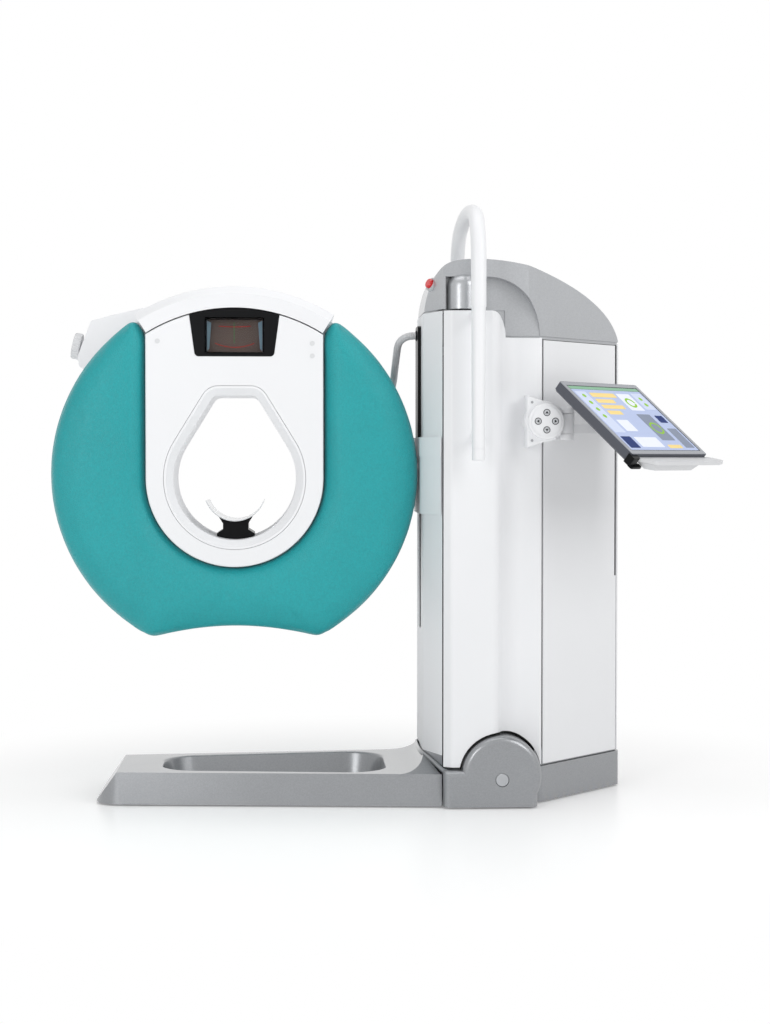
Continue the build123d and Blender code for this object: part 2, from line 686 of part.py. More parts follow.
def wheel_cover():
    """The near wheel cover: an arch with a rounded outer edge, hollow for the wheel."""
    body = upright(fender_profile(0), -FENDER_FACE, FENDER_DEEP)
    face = body.faces().sort_by(Axis.Y)[0]
    top = face.edges().sort_by(Axis.Z)[1:]
    body = fillet(top, FENDER_ROUND)
    room = Pos(ARCH_X, WHEEL_Z) * Circle(WHEEL_R + 5)
    slot = room + outline((ARCH_X - WHEEL_R - 5, 0), (ARCH_X + WHEEL_R + 5, 0),
                          (ARCH_X + WHEEL_R + 5, WHEEL_Z), (ARCH_X - WHEEL_R - 5, WHEEL_Z))
    inner = upright(slot, -FENDER_FACE + 12, FENDER_DEEP - 12 - WALL)
    body = body - inner - rod_y(AXLE_CAP_R + FIT, -FENDER_FACE, -FENDER_FACE + 14, ARCH_X, WHEEL_Z)
    return body - rod_y(AXLE_R, -FENDER_FACE, 0, ARCH_X, WHEEL_Z)


def wheel():
    """The near transport wheel: a tyre on a dished hub."""
    front = -FENDER_FACE + 16
    tyre = rod_y(WHEEL_R, front, front + WHEEL_WIDE, ARCH_X, WHEEL_Z)
    tyre = fillet(tyre.edges(), 5)
    dish = rod_y(WHEEL_R - 18, front, front + 8, ARCH_X, WHEEL_Z)
    return tyre - dish - rod_y(AXLE_R + FIT, front, front + WHEEL_WIDE, ARCH_X, WHEEL_Z)


def axle():
    """The wheel's axle, fixed in the chassis, with the round cap seen in the wheel cover."""
    end = -RIB_HALF + FENDER_DEEP
    shaft = rod_y(AXLE_R, -FENDER_FACE + 10, end, ARCH_X, WHEEL_Z)
    cap = rod_y(AXLE_CAP_R, -FENDER_FACE - 1, -FENDER_FACE + 12, ARCH_X, WHEEL_Z)
    cap = chamfer(cap.faces().sort_by(Axis.Y)[0].edges(), 2)
    return shaft + cap


def cap_plan(grow):
    """The cap's plan: as the column's, but running straight from the nose to the flank."""
    reach = FLANK_X - CAP_HALF + PANEL_Y
    plan = outline(
        (COLUMN_NOSE + 2, NOSE_HALF), (COLUMN_NOSE + 2, -NOSE_HALF), (SHOULDER_X, -CAP_HALF),
        (reach, -CAP_HALF), (COLUMN_END, FLANK_END_Y), (COLUMN_END, PANEL_Y), (SHOULDER_X, CAP_HALF))
    plan = fillet(corner(plan, COLUMN_END, FLANK_END_Y), COLUMN_ROUND)
    plan = fillet(corner(plan, COLUMN_END, PANEL_Y), 3 * COLUMN_ROUND)
    return offset(plan, grow) if grow else plan


def cap_profile(drop):
    """The cap's side outline: a quick rise over the nose and a long fall to the back."""
    top = [(COLUMN_NOSE + 3, NOSE_TOP), (515, 1364), (549, 1419), (620, CAP_PEAK), (747, 1425),
           (859, 1394), (979, 1337), (1030, 1292), (COLUMN_END, BODY_TOP)]
    top = [(x, z - drop) for x, z in top]
    floor = BODY_TOP - drop
    sides = Polyline(top[-1], (COLUMN_NOSE + 2, floor), top[0])
    return make_face(Spline(*top) + sides)


def scoop(grow):
    """The near scoop over the rib: level on top, rounded down to the flank, open below."""
    start, end = SCOOP_START - grow, SCOOP_END + grow
    high = SCOOP_TOP + grow
    area = outline((start, 0), (end, 0), (end, high), (start, high))
    corner_area = outline((SCOOP_X, BODY_TOP), (end + 1, BODY_TOP), (end + 1, high + 1), (SCOOP_X, high + 1))
    round_end = Pos(SCOOP_X, BODY_TOP) * Ellipse(end - SCOOP_X, high - BODY_TOP)
    area = area - (corner_area - round_end)
    return upright(area, -2 * RIB_HALF, 2 * RIB_HALF - PANEL_Y + grow)


def bulge():
    """The near crest: a half-round column over the rib with a domed top."""
    low = NOSE_TOP + CAP_GAP
    crest = rod_z(BULGE_R, low, BULGE_TOP, BULGE_X, BULGE_R - RIB_HALF)
    crest = fillet(crest.edges().sort_by(Axis.Z)[-1:], BULGE_R * 0.7)
    back = block(BULGE_X - BULGE_R, BULGE_X + BULGE_R, BULGE_R - RIB_HALF, -PANEL_Y, low, BULGE_TOP - BULGE_R)
    return crest + back


def column_cap():
    """The silver cap: a thin dome over the plan, scooped out over each rib, with a lip inside."""
    low = BODY_TOP + CAP_GAP
    dome = upright(cap_profile(0), -RIB_HALF * 2, RIB_HALF * 4)
    dome = dome & flat(cap_plan(0), low, CAP_PEAK + 1)
    inside = upright(cap_profile(CAP_WALL), -RIB_HALF * 2, RIB_HALF * 4)
    inside = inside & flat(cap_plan(-CAP_WALL), 0, CAP_PEAK)
    inside = inside - scoop(CAP_WALL) - mirrored(scoop(CAP_WALL))
    under = block(0, PANEL_X, -RIB_HALF * 2, RIB_HALF * 2, 0, NOSE_TOP + CAP_GAP)
    shell = dome - scoop(0) - mirrored(scoop(0)) - inside - under
    lip_plan = offset(column_plan(), -WALL) & cap_plan(-WALL)
    lip_plan = lip_plan & outline((0, WALL - PANEL_Y), (COLUMN_END, WALL - PANEL_Y),
                                  (COLUMN_END, PANEL_Y - WALL), (0, PANEL_Y - WALL))
    lip = flat(lip_plan, BODY_TOP - LIP_DEEP, NOSE_TOP + CAP_GAP + CAP_WALL)
    lip = lip & upright(cap_profile(CAP_WALL / 2), -RIB_HALF * 2, RIB_HALF * 4)
    lip = lip - flat(offset(lip_plan, -WALL), 0, CAP_PEAK)
    seat = stop_frame() * (Pos(0, 0, 10) * Cylinder(STOP_R + STOP_CUP, 80))
    return shell + lip + bulge() + mirrored(bulge()) - seat


# Floor base and chassis

def tub_plan(grow):
    """The base tub's plan on the floor: a long taper with a rounded far end."""
    plan = outline((TUB_START, -TUB_START_HALF), (TUB_END, -TUB_END_HALF),
                   (TUB_END, TUB_END_HALF), (TUB_START, TUB_START_HALF))
    ends = plan.vertices().sort_by(Axis.X)[:2]
    plan = fillet(ends, TUB_CORNER)
    return offset(plan, grow) if grow else plan


def recess_plan(grow):
    """The foot recess's plan: a broad oval that widens towards the column."""
    plan = outline((RECESS_START, -RECESS_START_HALF), (RECESS_END, -RECESS_END_HALF),
                   (RECESS_END, RECESS_END_HALF), (RECESS_START, RECESS_START_HALF))
    plan = fillet(plan.vertices(), RECESS_CORNER)
    return offset(plan, grow) if grow else plan


def collar():
    """The tub's top where it sweeps up to the nose, lower towards both sides."""
    half = TUB_END_HALF - 2 * TUB_DRAFT
    low = TUB_TOP - WALL
    rise = outline((COLLAR_START, low), (TUB_END - EASE, low), (TUB_END - EASE, COLLAR_TOP),
                   (COLLAR_START, COLLAR_TOP))
    rise = rise - Pos(COLLAR_START, COLLAR_TOP) * Ellipse(COLUMN_NOSE - COLLAR_START, COLLAR_TOP - TUB_TOP)
    hill = outline((-half, low), (half, low), (half, TUB_TOP), (NOSE_HALF, COLLAR_TOP),
                   (-NOSE_HALF, COLLAR_TOP), (-half, TUB_TOP))
    hill = fillet(hill.vertices().sort_by(Axis.Y)[-2:], NOSE_HALF)
    across = Plane(origin=(0, 0, 0), x_dir=(0, 1, 0), z_dir=(1, 0, 0))
    body = upright(rise, -TUB_END_HALF, 2 * TUB_END_HALF) & extrude(across * hill, amount=TUB_END)
    return body - flat(offset(column_plan(), SEAM), 0, NOSE_TOP)


def base_tub():
    """The moulded floor cover: drafted sides, a sloped end, the foot recess and a collar at the nose."""
    body = extrude(Plane.XY.offset(FLOOR_GAP) * tub_plan(0), amount=TUB_TOP - FLOOR_GAP,
                   taper=TUB_DRAFT)
    slope = outline((TUB_START - 1, FLOOR_GAP), (TUB_START + NOSE_SLOPE, TUB_TOP),
                    (TUB_START + NOSE_SLOPE, TUB_TOP + 1), (TUB_START - 1, TUB_TOP + 1))
    body = body - upright(slope, -TUB_END_HALF * 2, TUB_END_HALF * 4)
    bowl = extrude(Plane.XY.offset(RECESS_FLOOR) * recess_plan(-18), amount=TUB_TOP, taper=-14)
    body = body - bowl
    rim = body.faces().filter_by(Axis.Z).sort_by(Axis.Z)[-1]
    body = fillet(rim.inner_wires()[0].edges(), 7)
    inner = offset(tub_plan(0), -3 * WALL) & outline(
        (TUB_START + NOSE_SLOPE + 20, -TUB_END_HALF), (TUB_END + 50, -TUB_END_HALF),
        (TUB_END + 50, TUB_END_HALF), (TUB_START + NOSE_SLOPE + 20, TUB_END_HALF))
    room = extrude(Plane.XY.offset(0) * inner, amount=TUB_TOP - WALL, taper=TUB_DRAFT)
    bowl_wall = extrude(Plane.XY.offset(FLOOR_GAP + CHASSIS_THICK + 1) * recess_plan(-18 + WALL),
                        amount=TUB_TOP, taper=-14)
    link_way = block(TUB_END - 4 * WALL, TUB_END + 1, -LINK_HALF, LINK_HALF, 0,
                     FLOOR_GAP + 1 + CHASSIS_THICK)
    return body - (room - bowl_wall) - link_way + collar()


def chassis():
    """The steel chassis: a tongue under the tub, a deep box under the column, a front upstand."""
    tongue_low = FLOOR_GAP + 1
    tongue_plan = offset(tub_plan(0), -3 * WALL - 6) & outline(
        (TUB_START + NOSE_SLOPE + 34, -TUB_END_HALF), (TUB_END + 60, -TUB_END_HALF),
        (TUB_END + 60, TUB_END_HALF), (TUB_START + NOSE_SLOPE + 34, TUB_END_HALF))
    tongue = flat(tongue_plan, tongue_low, tongue_low + CHASSIS_THICK)
    foot_plan = offset(column_plan(), -2 * WALL)
    box = flat(foot_plan, tongue_low, 40) & block(TUB_END + 6, COLUMN_END, -RIB_HALF, RIB_HALF, 0, 40)
    link = block(TUB_END - 60, TUB_END + 60, -LINK_HALF, LINK_HALF, tongue_low,
                 tongue_low + CHASSIS_THICK)
    shelf = flat(foot_plan, CHASSIS_TOP - 8, CHASSIS_TOP)
    shelf = shelf & block(0, SHOULDER_X + 15, -RIB_HALF, RIB_HALF, 0, CHASSIS_TOP)
    upstand = plan_ring(-WALL, -2 * WALL, CHASSIS_TOP - 8, NOSE_LOW + UPSTAND)
    upstand = upstand & block(0, SHOULDER_X - 1, -RIB_HALF, RIB_HALF, 0, NOSE_TOP)
    post = block(SHOULDER_X + 5, SHOULDER_X + 15, -170, 170, 30, CHASSIS_TOP)
    room = upright(fender_profile(EASE), -FENDER_FACE - 1, FENDER_DEEP + 1)
    return tongue + link + box + shelf + upstand + post - room - mirrored(room)


def foot_places():
    """Where the levelling feet stand."""
    tongue_x = TUB_START + NOSE_SLOPE + 70
    return [(tongue_x, -95), (tongue_x, 95), (TUB_END + 60, -130), (TUB_END + 60, 130),
            (FLANK_X + 30, -PANEL_Y + 100), (COLUMN_END - 70, PANEL_Y - 60)]


def levelling_feet():
    """Six rubber-faced feet that take the machine's weight."""
    foot = Cylinder(FOOT_R, FOOT_THICK, align=(Align.CENTER, Align.CENTER, Align.MIN))
    foot = chamfer(foot.edges().sort_by(Axis.Z)[:1], 1)
    return [Pos(x, y, 0) * foot for x, y in foot_places()]


# Lift mechanism inside the column


def mast():
    """Two box posts tied by a back web, which carry the rails."""
    post = block(MAST_X, MAST_X + MAST_DEEP, MAST_SIDE, MAST_SIDE + MAST_WIDE, 40, MAST_TOP)
    core = block(MAST_X + 5, MAST_X + MAST_DEEP - 5, MAST_SIDE + 5, MAST_SIDE + MAST_WIDE - 5,
                 39, MAST_TOP + 1)
    post = post - core
    web = block(MAST_X + MAST_DEEP - 8, MAST_X + MAST_DEEP, -MAST_SIDE, MAST_SIDE, 40, MAST_TOP)
    return post + mirrored(post) + web


def guide_rails():
    """Two linear rails on the mast's front, with a waisted section."""
    low = PLATE_LOW - TRAVEL_DOWN - 20
    half = RAIL_WIDE / 2
    section = outline((RAIL_X, -half), (RAIL_X + 2.5, -half), (RAIL_X + 4, -half + 3),
                      (MAST_X, -half + 3), (MAST_X, half - 3), (RAIL_X + 4, half - 3),
                      (RAIL_X + 2.5, half), (RAIL_X, half))
    rail = Pos(0, RAIL_SIDE, 0) * flat(section, low, MAST_TOP - 4)
    return [rail, mirrored(rail)]


def screw_low():
    """Lowest point of the lift screw, under the nut's lowest place."""
    return PLATE_LOW - TRAVEL_DOWN - 30


def lift_screw():
    """The trapezoidal lift screw with turned journals."""
    low = screw_low()
    body = rod_z(SCREW_R, low, MAST_TOP - 20, SCREW_X, 0)
    foot = rod_z(SCREW_R - 4, low - 60, low, SCREW_X, 0)
    head = rod_z(SCREW_R - 4, MAST_TOP - 20, MAST_TOP - 2, SCREW_X, 0)
    return body + foot + head


def screw_bearings():
    """The two bearing blocks that hold the screw to the mast's web."""
    back = MAST_X + MAST_DEEP - 8
    low = screw_low()
    blocks = []
    for z0, z1 in ((low - 26, low - 2), (MAST_TOP - 18, MAST_TOP)):
        housing = block(SCREW_X - 30, back, -30, 30, z0, z1)
        blocks.append(housing - rod_z(SCREW_R - 4 + FIT, z0 - 1, z1 + 1, SCREW_X, 0))
    return blocks


def lift_motor():
    """The lift motor under the screw: a finned barrel on a flange."""
    top = screw_low() - 28
    flange = block(SCREW_X - 42, MAST_X + MAST_DEEP - 8, -42, 42, top - 12, top)
    barrel = rod_z(38, top - 150, top - 12, SCREW_X, 0)
    fins = [Pos(SCREW_X, 0, top - 30 - 12 * i) * Cylinder(42, 5) for i in range(9)]
    hole = rod_z(SCREW_R - 4 + FIT, top - 36, top + 1, SCREW_X, 0)
    return flange + barrel + fins - hole


def generator():
    """The high-voltage generator at the back of the column, on rails above the chassis."""
    front = MAST_X + MAST_DEEP + 40
    back = COLUMN_END - 150
    near = -PANEL_Y + (back - FLANK_X) + 50
    case = block(front, back, near, PANEL_Y - 30, 40, 560)
    case = chamfer(case.edges().filter_by(Axis.Z), 8)
    ribs = [block(front + 10, back - 10, near - 6, near, z, z + 6) for z in range(120, 520, 40)]
    return case + ribs


# Carriage

def carriage_frame():
    """The carriage's steel plate, with a neck through the slot and the screw nut on an arm."""
    back = FRAME_X + FRAME_THICK
    plate = block(FRAME_X, back, -FRAME_HALF, FRAME_HALF, PLATE_LOW + 6, PLATE_HIGH - 6)
    plate = chamfer(plate.edges().filter_by(Axis.X), 12)
    neck = block(COLUMN_NOSE - EASE, FRAME_X, -SLOT_HALF + 3, SLOT_HALF - 3, PLATE_LOW + 20, PLATE_HIGH)
    arm_low = GANTRY_Z + 70
    arm = block(back, SCREW_X + 22, -26, 26, arm_low, PLATE_HIGH - 6)
    nut = rod_z(SCREW_R + FIT, 0, NOSE_TOP, SCREW_X, 0)
    shaft = rod_x(SHAFT_R + FIT, 0, COLUMN_END, 0, GANTRY_Z)
    return plate + neck + arm - nut - shaft


def guide_blocks():
    """Four runner blocks that straddle the rails."""
    back = FRAME_X + FRAME_THICK
    groove = block(RAIL_X - FIT, MAST_X, -RAIL_WIDE / 2 - FIT, RAIL_WIDE / 2 + FIT, 0, NOSE_TOP)
    blocks = []
    for side in (-RAIL_SIDE, RAIL_SIDE):
        for low in (PLATE_LOW + 12, PLATE_HIGH - 72):
            body = block(back, MAST_X - 3, side - 18, side + 18, low, low + 60)
            blocks.append(body - Pos(0, side, 0) * groove)
    return blocks


def tilt_housing():
    """The bearing housing that the tilt shaft turns in."""
    back = FRAME_X + FRAME_THICK
    end = SHAFT_END - 4
    body = rod_x(58, back, end, 0, GANTRY_Z)
    body = body & block(0, COLUMN_END, -55, 55, GANTRY_Z - 58, GANTRY_Z + 58)
    return body - rod_x(SHAFT_R + FIT, back - 1, end + 1, 0, GANTRY_Z)


def tilt_motor():
    """The worm motor under the bearing housing."""
    back = FRAME_X + FRAME_THICK
    case = block(back, back + 46, -44, 44, PLATE_LOW + 8, GANTRY_Z - 60)
    barrel = rod_y(17, -54, -44, back + 23, PLATE_LOW + 26)
    return case + barrel


def carriage_cover():
    """The white cover that wraps the nose at the tilt axis, with a raised top band."""
    gap = EASE
    outer = nose_wrap(COLUMN_NOSE - PLATE_FRONT)
    inner = nose_wrap(gap)
    low = flat(outer - inner, PLATE_LOW, PLATE_HIGH)
    band = flat(nose_wrap(COLUMN_NOSE - PLATE_FRONT + 2) - inner, PLATE_HIGH - BAND_HIGH, PLATE_HIGH)
    hole = rod_x(SHAFT_R + 2, 0, COLUMN_NOSE + 10, 0, GANTRY_Z)
    return low + band - hole


def nose_wrap(grow):
    """Plan of the nose in front of the shoulders, grown outwards."""
    front = outline((COLUMN_NOSE, NOSE_HALF), (COLUMN_NOSE, -NOSE_HALF), (SHOULDER_X, -SHOULDER_HALF),
                    (SHOULDER_X, SHOULDER_HALF))
    front = fillet(corner(front, COLUMN_NOSE, NOSE_HALF), 40)
    front = fillet(corner(front, COLUMN_NOSE, -NOSE_HALF), 40)
    keep = outline((0, -RIB_HALF * 2), (SHOULDER_X - 6, -RIB_HALF * 2),
                   (SHOULDER_X - 6, RIB_HALF * 2), (0, RIB_HALF * 2))
    return (offset(front, grow) if grow else front) & keep


def cable_post():
    """The dark upright plate that carries the hose up the nose."""
    back = COLUMN_NOSE - EASE
    post = block(back - POST_THICK, back, -POST_HALF, POST_HALF, PLATE_HIGH, POST_HIGH)
    post = fillet(post.edges().filter_by(Axis.X).sort_by(Axis.Z)[-2:], 12)
    socket = rod_x(HOSE_R + 4, back - POST_THICK - HOSE_SOCKET, back - POST_THICK, 0, HOSE_HEAD_Z)
    return post + socket


def hose_route():
    """The hose's corners, from the post's socket to the gland at rest."""
    start = (COLUMN_NOSE - EASE - POST_THICK - HOSE_SOCKET, 0, HOSE_HEAD_Z)
    end = (GLAND_X + GLAND_REACH, HALF - FACE_DEPTH + GLAND_STAND, GANTRY_Z + GLAND_Z)
    return [Vector(*p) for p in [start] + HOSE_BENDS + [end]]


def cable_hose():
    """The corrugated hose's outer shape: straight runs joined by the largest tangent arcs."""
    route = hose_route()
    radii = []
    for before, here, after in zip(route, route[1:], route[2:]):
        first, second = here - before, after - here
        half_turn = math.radians(first.get_angle(second) / 2)
        radii.append(0.45 * min(first.length, second.length) / math.tan(half_turn))
    path = FilletPolyline(*route, radius=radii)
    section = Plane(path @ 0, z_dir=path % 0) * Circle(HOSE_R)
    hose = sweep(section, path=path)
    share = hose.volume / (math.pi * HOSE_R ** 2 * path.length)
    print("hose radii", [round(r) for r in radii], "length", round(path.length), "share", round(share, 4))
    return hose


# Handrail

def handrail_path():
    """The bow's centre line: two legs, two round corners and a slightly bowed top."""
    bow = math.radians(RAIL_BOW)
    top_r = (RAIL_TUBE_Y - RAIL_CORNER) / math.sin(bow) + RAIL_CORNER
    spring = RAIL_TOP - RAIL_CORNER * math.cos(bow) - top_r * (1 - math.cos(bow))
    left = Line((-RAIL_TUBE_Y, RAIL_SEAM), (-RAIL_TUBE_Y, spring))
    first = JernArc(left @ 1, left % 1, RAIL_CORNER, RAIL_BOW - 90)
    crown = JernArc(first @ 1, first % 1, top_r, -2 * RAIL_BOW)
    second = JernArc(crown @ 1, crown % 1, RAIL_CORNER, RAIL_BOW - 90)
    right = Line(second @ 1, (RAIL_TUBE_Y, RAIL_SEAM))
    plane = Plane(origin=(RAIL_TUBE_X, 0, 0), x_dir=(0, 1, 0), z_dir=(1, 0, 0))
    return plane * (left + first + crown + second + right)


def handrail():
    """The bent tube over the column's top."""
    section = Plane((RAIL_TUBE_X, -RAIL_TUBE_Y, RAIL_SEAM), z_dir=(0, 0, 1)) * Circle(RAIL_TUBE_R)
    return sweep(section, path=handrail_path())


def sleeve():
    """The near grip sleeve under the bow, with a groove over its end cap."""
    long = RAIL_SEAM - RAIL_FOOT
    body = Pos(RAIL_TUBE_X, -RAIL_TUBE_Y, RAIL_FOOT + long / 2) * Cone(SLEEVE_LOW_R, SLEEVE_R, long)
    body = fillet(body.edges().sort_by(Axis.Z)[:1], 5)
    groove = rod_z(SLEEVE_R, RAIL_FOOT + 30, RAIL_FOOT + 32, RAIL_TUBE_X, -RAIL_TUBE_Y)
    core = rod_z(SLEEVE_LOW_R - 1, 0, NOSE_TOP, RAIL_TUBE_X, -RAIL_TUBE_Y)
    return body - (groove - core)


def standoffs():
    """The near pair of stand-offs from the rib to the sleeve."""
    pair = []
    for z in STANDOFF_Z:
        post = rod_y(9, -RAIL_TUBE_Y, -RIB_HALF, RAIL_TUBE_X, z)
        rose = rod_y(15, -RIB_HALF - 4, -RIB_HALF, RAIL_TUBE_X, z)
        pair.append(post + rose - sleeve())
    return pair


# Hand controls

def control_bracket():
    """The bracket on the column's corner: a tapered plate, a round boss and the screen's lugs."""
    plate = outline((BRACKET_X, BRACKET_LOW), (CONTROL_X, CONTROL_Z - CONTROL_BOSS_R),
                    (CONTROL_X, CONTROL_Z + CONTROL_BOSS_R), (BRACKET_X, BRACKET_HIGH))
    plate = plate + Pos(CONTROL_X, CONTROL_Z) * Circle(CONTROL_BOSS_R)
    body = upright(plate, -BRACKET_FACE, BRACKET_FACE - PANEL_Y + 60)
    face = body.faces().sort_by(Axis.Y)[0]
    body = fillet(face.edges(), 6)
    boss = rod_y(CONTROL_BOSS_R - 6, -CONTROL_FACE + 4, -BRACKET_FACE + 1, CONTROL_X, CONTROL_Z)
    disc = rod_y(38, -CONTROL_FACE, -CONTROL_FACE + 5, CONTROL_X, CONTROL_Z)
    boss = fillet(boss.faces().sort_by(Axis.Y)[0].edges(), 5) + disc
    body = body + boss + flank_frame() * swivel_fork()
    body = body - flank_frame() * swivel_room() - flat(column_plan(), 0, NOSE_TOP)
    body = body + flank_frame() * swivel_pin()
    holes = [rod_y(ARROW_R + FIT, -CONTROL_FACE, -CONTROL_FACE + 10, x, z) for x, z in arrow_places()]
    return body - holes


def flank_frame():
    """A frame on the flank's near edge: X along it and -Y straight out of it."""
    run = (COLUMN_END - FLANK_X, FLANK_END_Y + PANEL_Y, 0)
    return Plane(origin=(FLANK_X, -PANEL_Y, 0), x_dir=run, z_dir=(0, 0, 1))


def swivel_fork():
    """The block on the flank that holds the screen's arm, in the flank's frame."""
    low, high = KNUCKLE_LOW - LUG_THICK, KNUCKLE_HIGH + LUG_THICK
    root = block(-20, SWIVEL_ALONG + SWIVEL_R, -SWIVEL_OUT, 30, low, high)
    return root + rod_z(SWIVEL_R, low, high, SWIVEL_ALONG, -SWIVEL_OUT)


def swivel_room():
    """The gap in the fork that the arm's knuckle turns in."""
    return rod_z(SWIVEL_R + 5, KNUCKLE_LOW - EASE, KNUCKLE_HIGH + EASE, SWIVEL_ALONG, -SWIVEL_OUT)


def swivel_pin():
    """The pin through the arm's knuckle."""
    return rod_z(SWIVEL_PIN_R, KNUCKLE_LOW - LUG_THICK / 2, KNUCKLE_HIGH + LUG_THICK / 2,
                 SWIVEL_ALONG, -SWIVEL_OUT)


def arrow_places():
    """Centres of the four arrow buttons, up, left, down and right."""
    return [(CONTROL_X + ARROW_CIRCLE * math.cos(math.radians(turn)),
             CONTROL_Z + ARROW_CIRCLE * math.sin(math.radians(turn))) for turn in (90, 180, 270, 0)]


def arrow_button(x, z):
    """One round button with a dished face."""
    front = -CONTROL_FACE - ARROW_PROUD
    cap = rod_y(ARROW_R, front, front + 10, x, z)
    return chamfer(cap.faces().sort_by(Axis.Y)[0].edges(), 1)


def stop_frame():
    """A frame on the stop button's seat, Z pointing out of the cap."""
    return Plane(origin=(STOP_X, STOP_Y, STOP_Z), z_dir=(-0.8, -0.45, 0.4))


def stop_bezel():
    """The grey cup that the stop button sits in."""
    cup = Pos(0, 0, -11) * Cylinder(STOP_R + 5, 24)
    cup = cup - Pos(0, 0, -3) * Cylinder(STOP_R + FIT, 24)
    return stop_frame() * cup


def stop_button():
    """The red stop button with a domed face."""
    button = Pos(0, 0, 0) * Cylinder(STOP_R, 19)
    button = fillet(button.edges().sort_by(Axis.Z)[-1:], 4)
    return stop_frame() * button


# Touch screen

def screen_frame():
    """A frame on the screen's face: X along its width and Y up its slope."""
    slope = math.radians(SCREEN_TILT)
    base = flank_frame()
    out = -base.y_dir
    origin = base.from_local_coords(Vector(SCREEN_ALONG, -SCREEN_OUT, SCREEN_Z))
    normal = out * math.sin(slope) + Vector(0, 0, 1) * math.cos(slope)
    return Plane(origin=origin, x_dir=base.x_dir, z_dir=normal)


def screen_shell():
    """The screen's case with its glass recess and two hinge lugs on the back."""
    case = Pos(0, 0, -SCREEN_THICK / 2) * Box(SCREEN_WIDE, SCREEN_TALL, SCREEN_THICK)
    case = fillet(case.edges().filter_by(Axis.Z), 8)
    case = chamfer(case.faces().sort_by(Axis.Z)[0].edges(), 6)
    recess = Pos(0, 0, -GLASS_SHEET / 2) * Box(SCREEN_WIDE - 2 * SCREEN_BEZEL,
                                              SCREEN_TALL - 2 * SCREEN_BEZEL, GLASS_SHEET)
    hinge_z = -SCREEN_THICK - BARREL_BACK
    lugs = []
    for side in (-1, 1):
        middle = side * (BARREL_WIDE / 2 + EASE + LUG_WIDE / 2)
        eye = Pos(middle, BARREL_UP, hinge_z) * Rot(0, 90, 0) * Cylinder(BARREL_R, LUG_WIDE)
        web = Pos(middle, BARREL_UP, -SCREEN_THICK - BARREL_BACK / 2) * Box(LUG_WIDE, 2 * BARREL_R, BARREL_BACK)
        lugs.append(eye + web)
    pin = Pos(0, BARREL_UP, hinge_z) * Rot(0, 90, 0) * Cylinder(PIN_R + FIT, SCREEN_WIDE)
    return screen_frame() * (case - recess + lugs - pin)


def screen_glass():
    """The flat touch glass in the case's recess."""
    sheet = Pos(0, 0, -GLASS_SHEET / 2) * Box(SCREEN_WIDE - 2 * SCREEN_BEZEL,
                                             SCREEN_TALL - 2 * SCREEN_BEZEL, GLASS_SHEET)
    return screen_frame() * sheet


def screen_shelf():
    """The white wing along the screen's lower edge."""
    half = SCREEN_WIDE / 2
    low = -SCREEN_TALL / 2
    wing = outline((-half + 20, 0), (half + 20, 0), (half + 34, -SHELF_DEEP * 0.7),
                   (half - 20, -SHELF_DEEP), (-half + 40, -SHELF_DEEP))
    wing = fillet(wing.vertices().sort_by(Axis.Y)[:3], 18)
    plate = extrude(wing, amount=-SHELF_THICK)
    plate = Pos(0, low, -SCREEN_THICK + SHELF_THICK) * Rot(12 - SCREEN_TILT, 0, 0) * plate
    case = Pos(0, 0, -SCREEN_THICK / 2) * Box(SCREEN_WIDE, SCREEN_TALL, SCREEN_THICK)
    return screen_frame() * (plate - case)


def barrel_place():
    """Where the screen's hinge axis runs, in the flank's frame."""
    slope = math.radians(SCREEN_TILT)
    back = SCREEN_THICK + BARREL_BACK
    y = -SCREEN_OUT + back * math.sin(slope) + BARREL_UP * math.cos(slope)
    return y, SCREEN_Z - back * math.cos(slope) + BARREL_UP * math.sin(slope)


def screen_arm():
    """The swinging arm: a knuckle, a link and the barrel that the screen tilts on."""
    x, y = SWIVEL_ALONG, -SWIVEL_OUT
    barrel_y, barrel_z = barrel_place()
    knuckle = rod_z(SWIVEL_R, KNUCKLE_LOW, KNUCKLE_HIGH, x, y)
    run_x, run_y = SCREEN_ALONG - x, barrel_y + BARREL_R - y
    reach = math.hypot(run_x, run_y)
    link = Pos(reach / 2, 0, 0) * Box(reach, LINK_WIDE, LINK_HIGH)
    turn = math.degrees(math.atan2(run_y, run_x))
    link = Pos(x, y, KNUCKLE_LOW + LINK_HIGH / 2 + EASE) * Rot(0, 0, turn) * link
    at_barrel = Pos(SCREEN_ALONG, barrel_y, barrel_z) * Rot(0, 90, 0)
    barrel = at_barrel * Cylinder(BARREL_R, BARREL_WIDE)
    pin = at_barrel * Cylinder(PIN_R, BARREL_WIDE + 2 * (EASE + LUG_WIDE))
    half = BARREL_WIDE / 2 - 5
    riser = block(SCREEN_ALONG - half, SCREEN_ALONG + half, barrel_y, barrel_y + LINK_WIDE,
                  KNUCKLE_LOW + EASE, barrel_z + BARREL_R - 2)
    riser = fillet(riser.edges().filter_by(Axis.Z), 6)
    eye = rod_z(SWIVEL_PIN_R + FIT, 0, NOSE_TOP, x, y)
    return flank_frame() * (knuckle + link + barrel + riser + pin - eye)


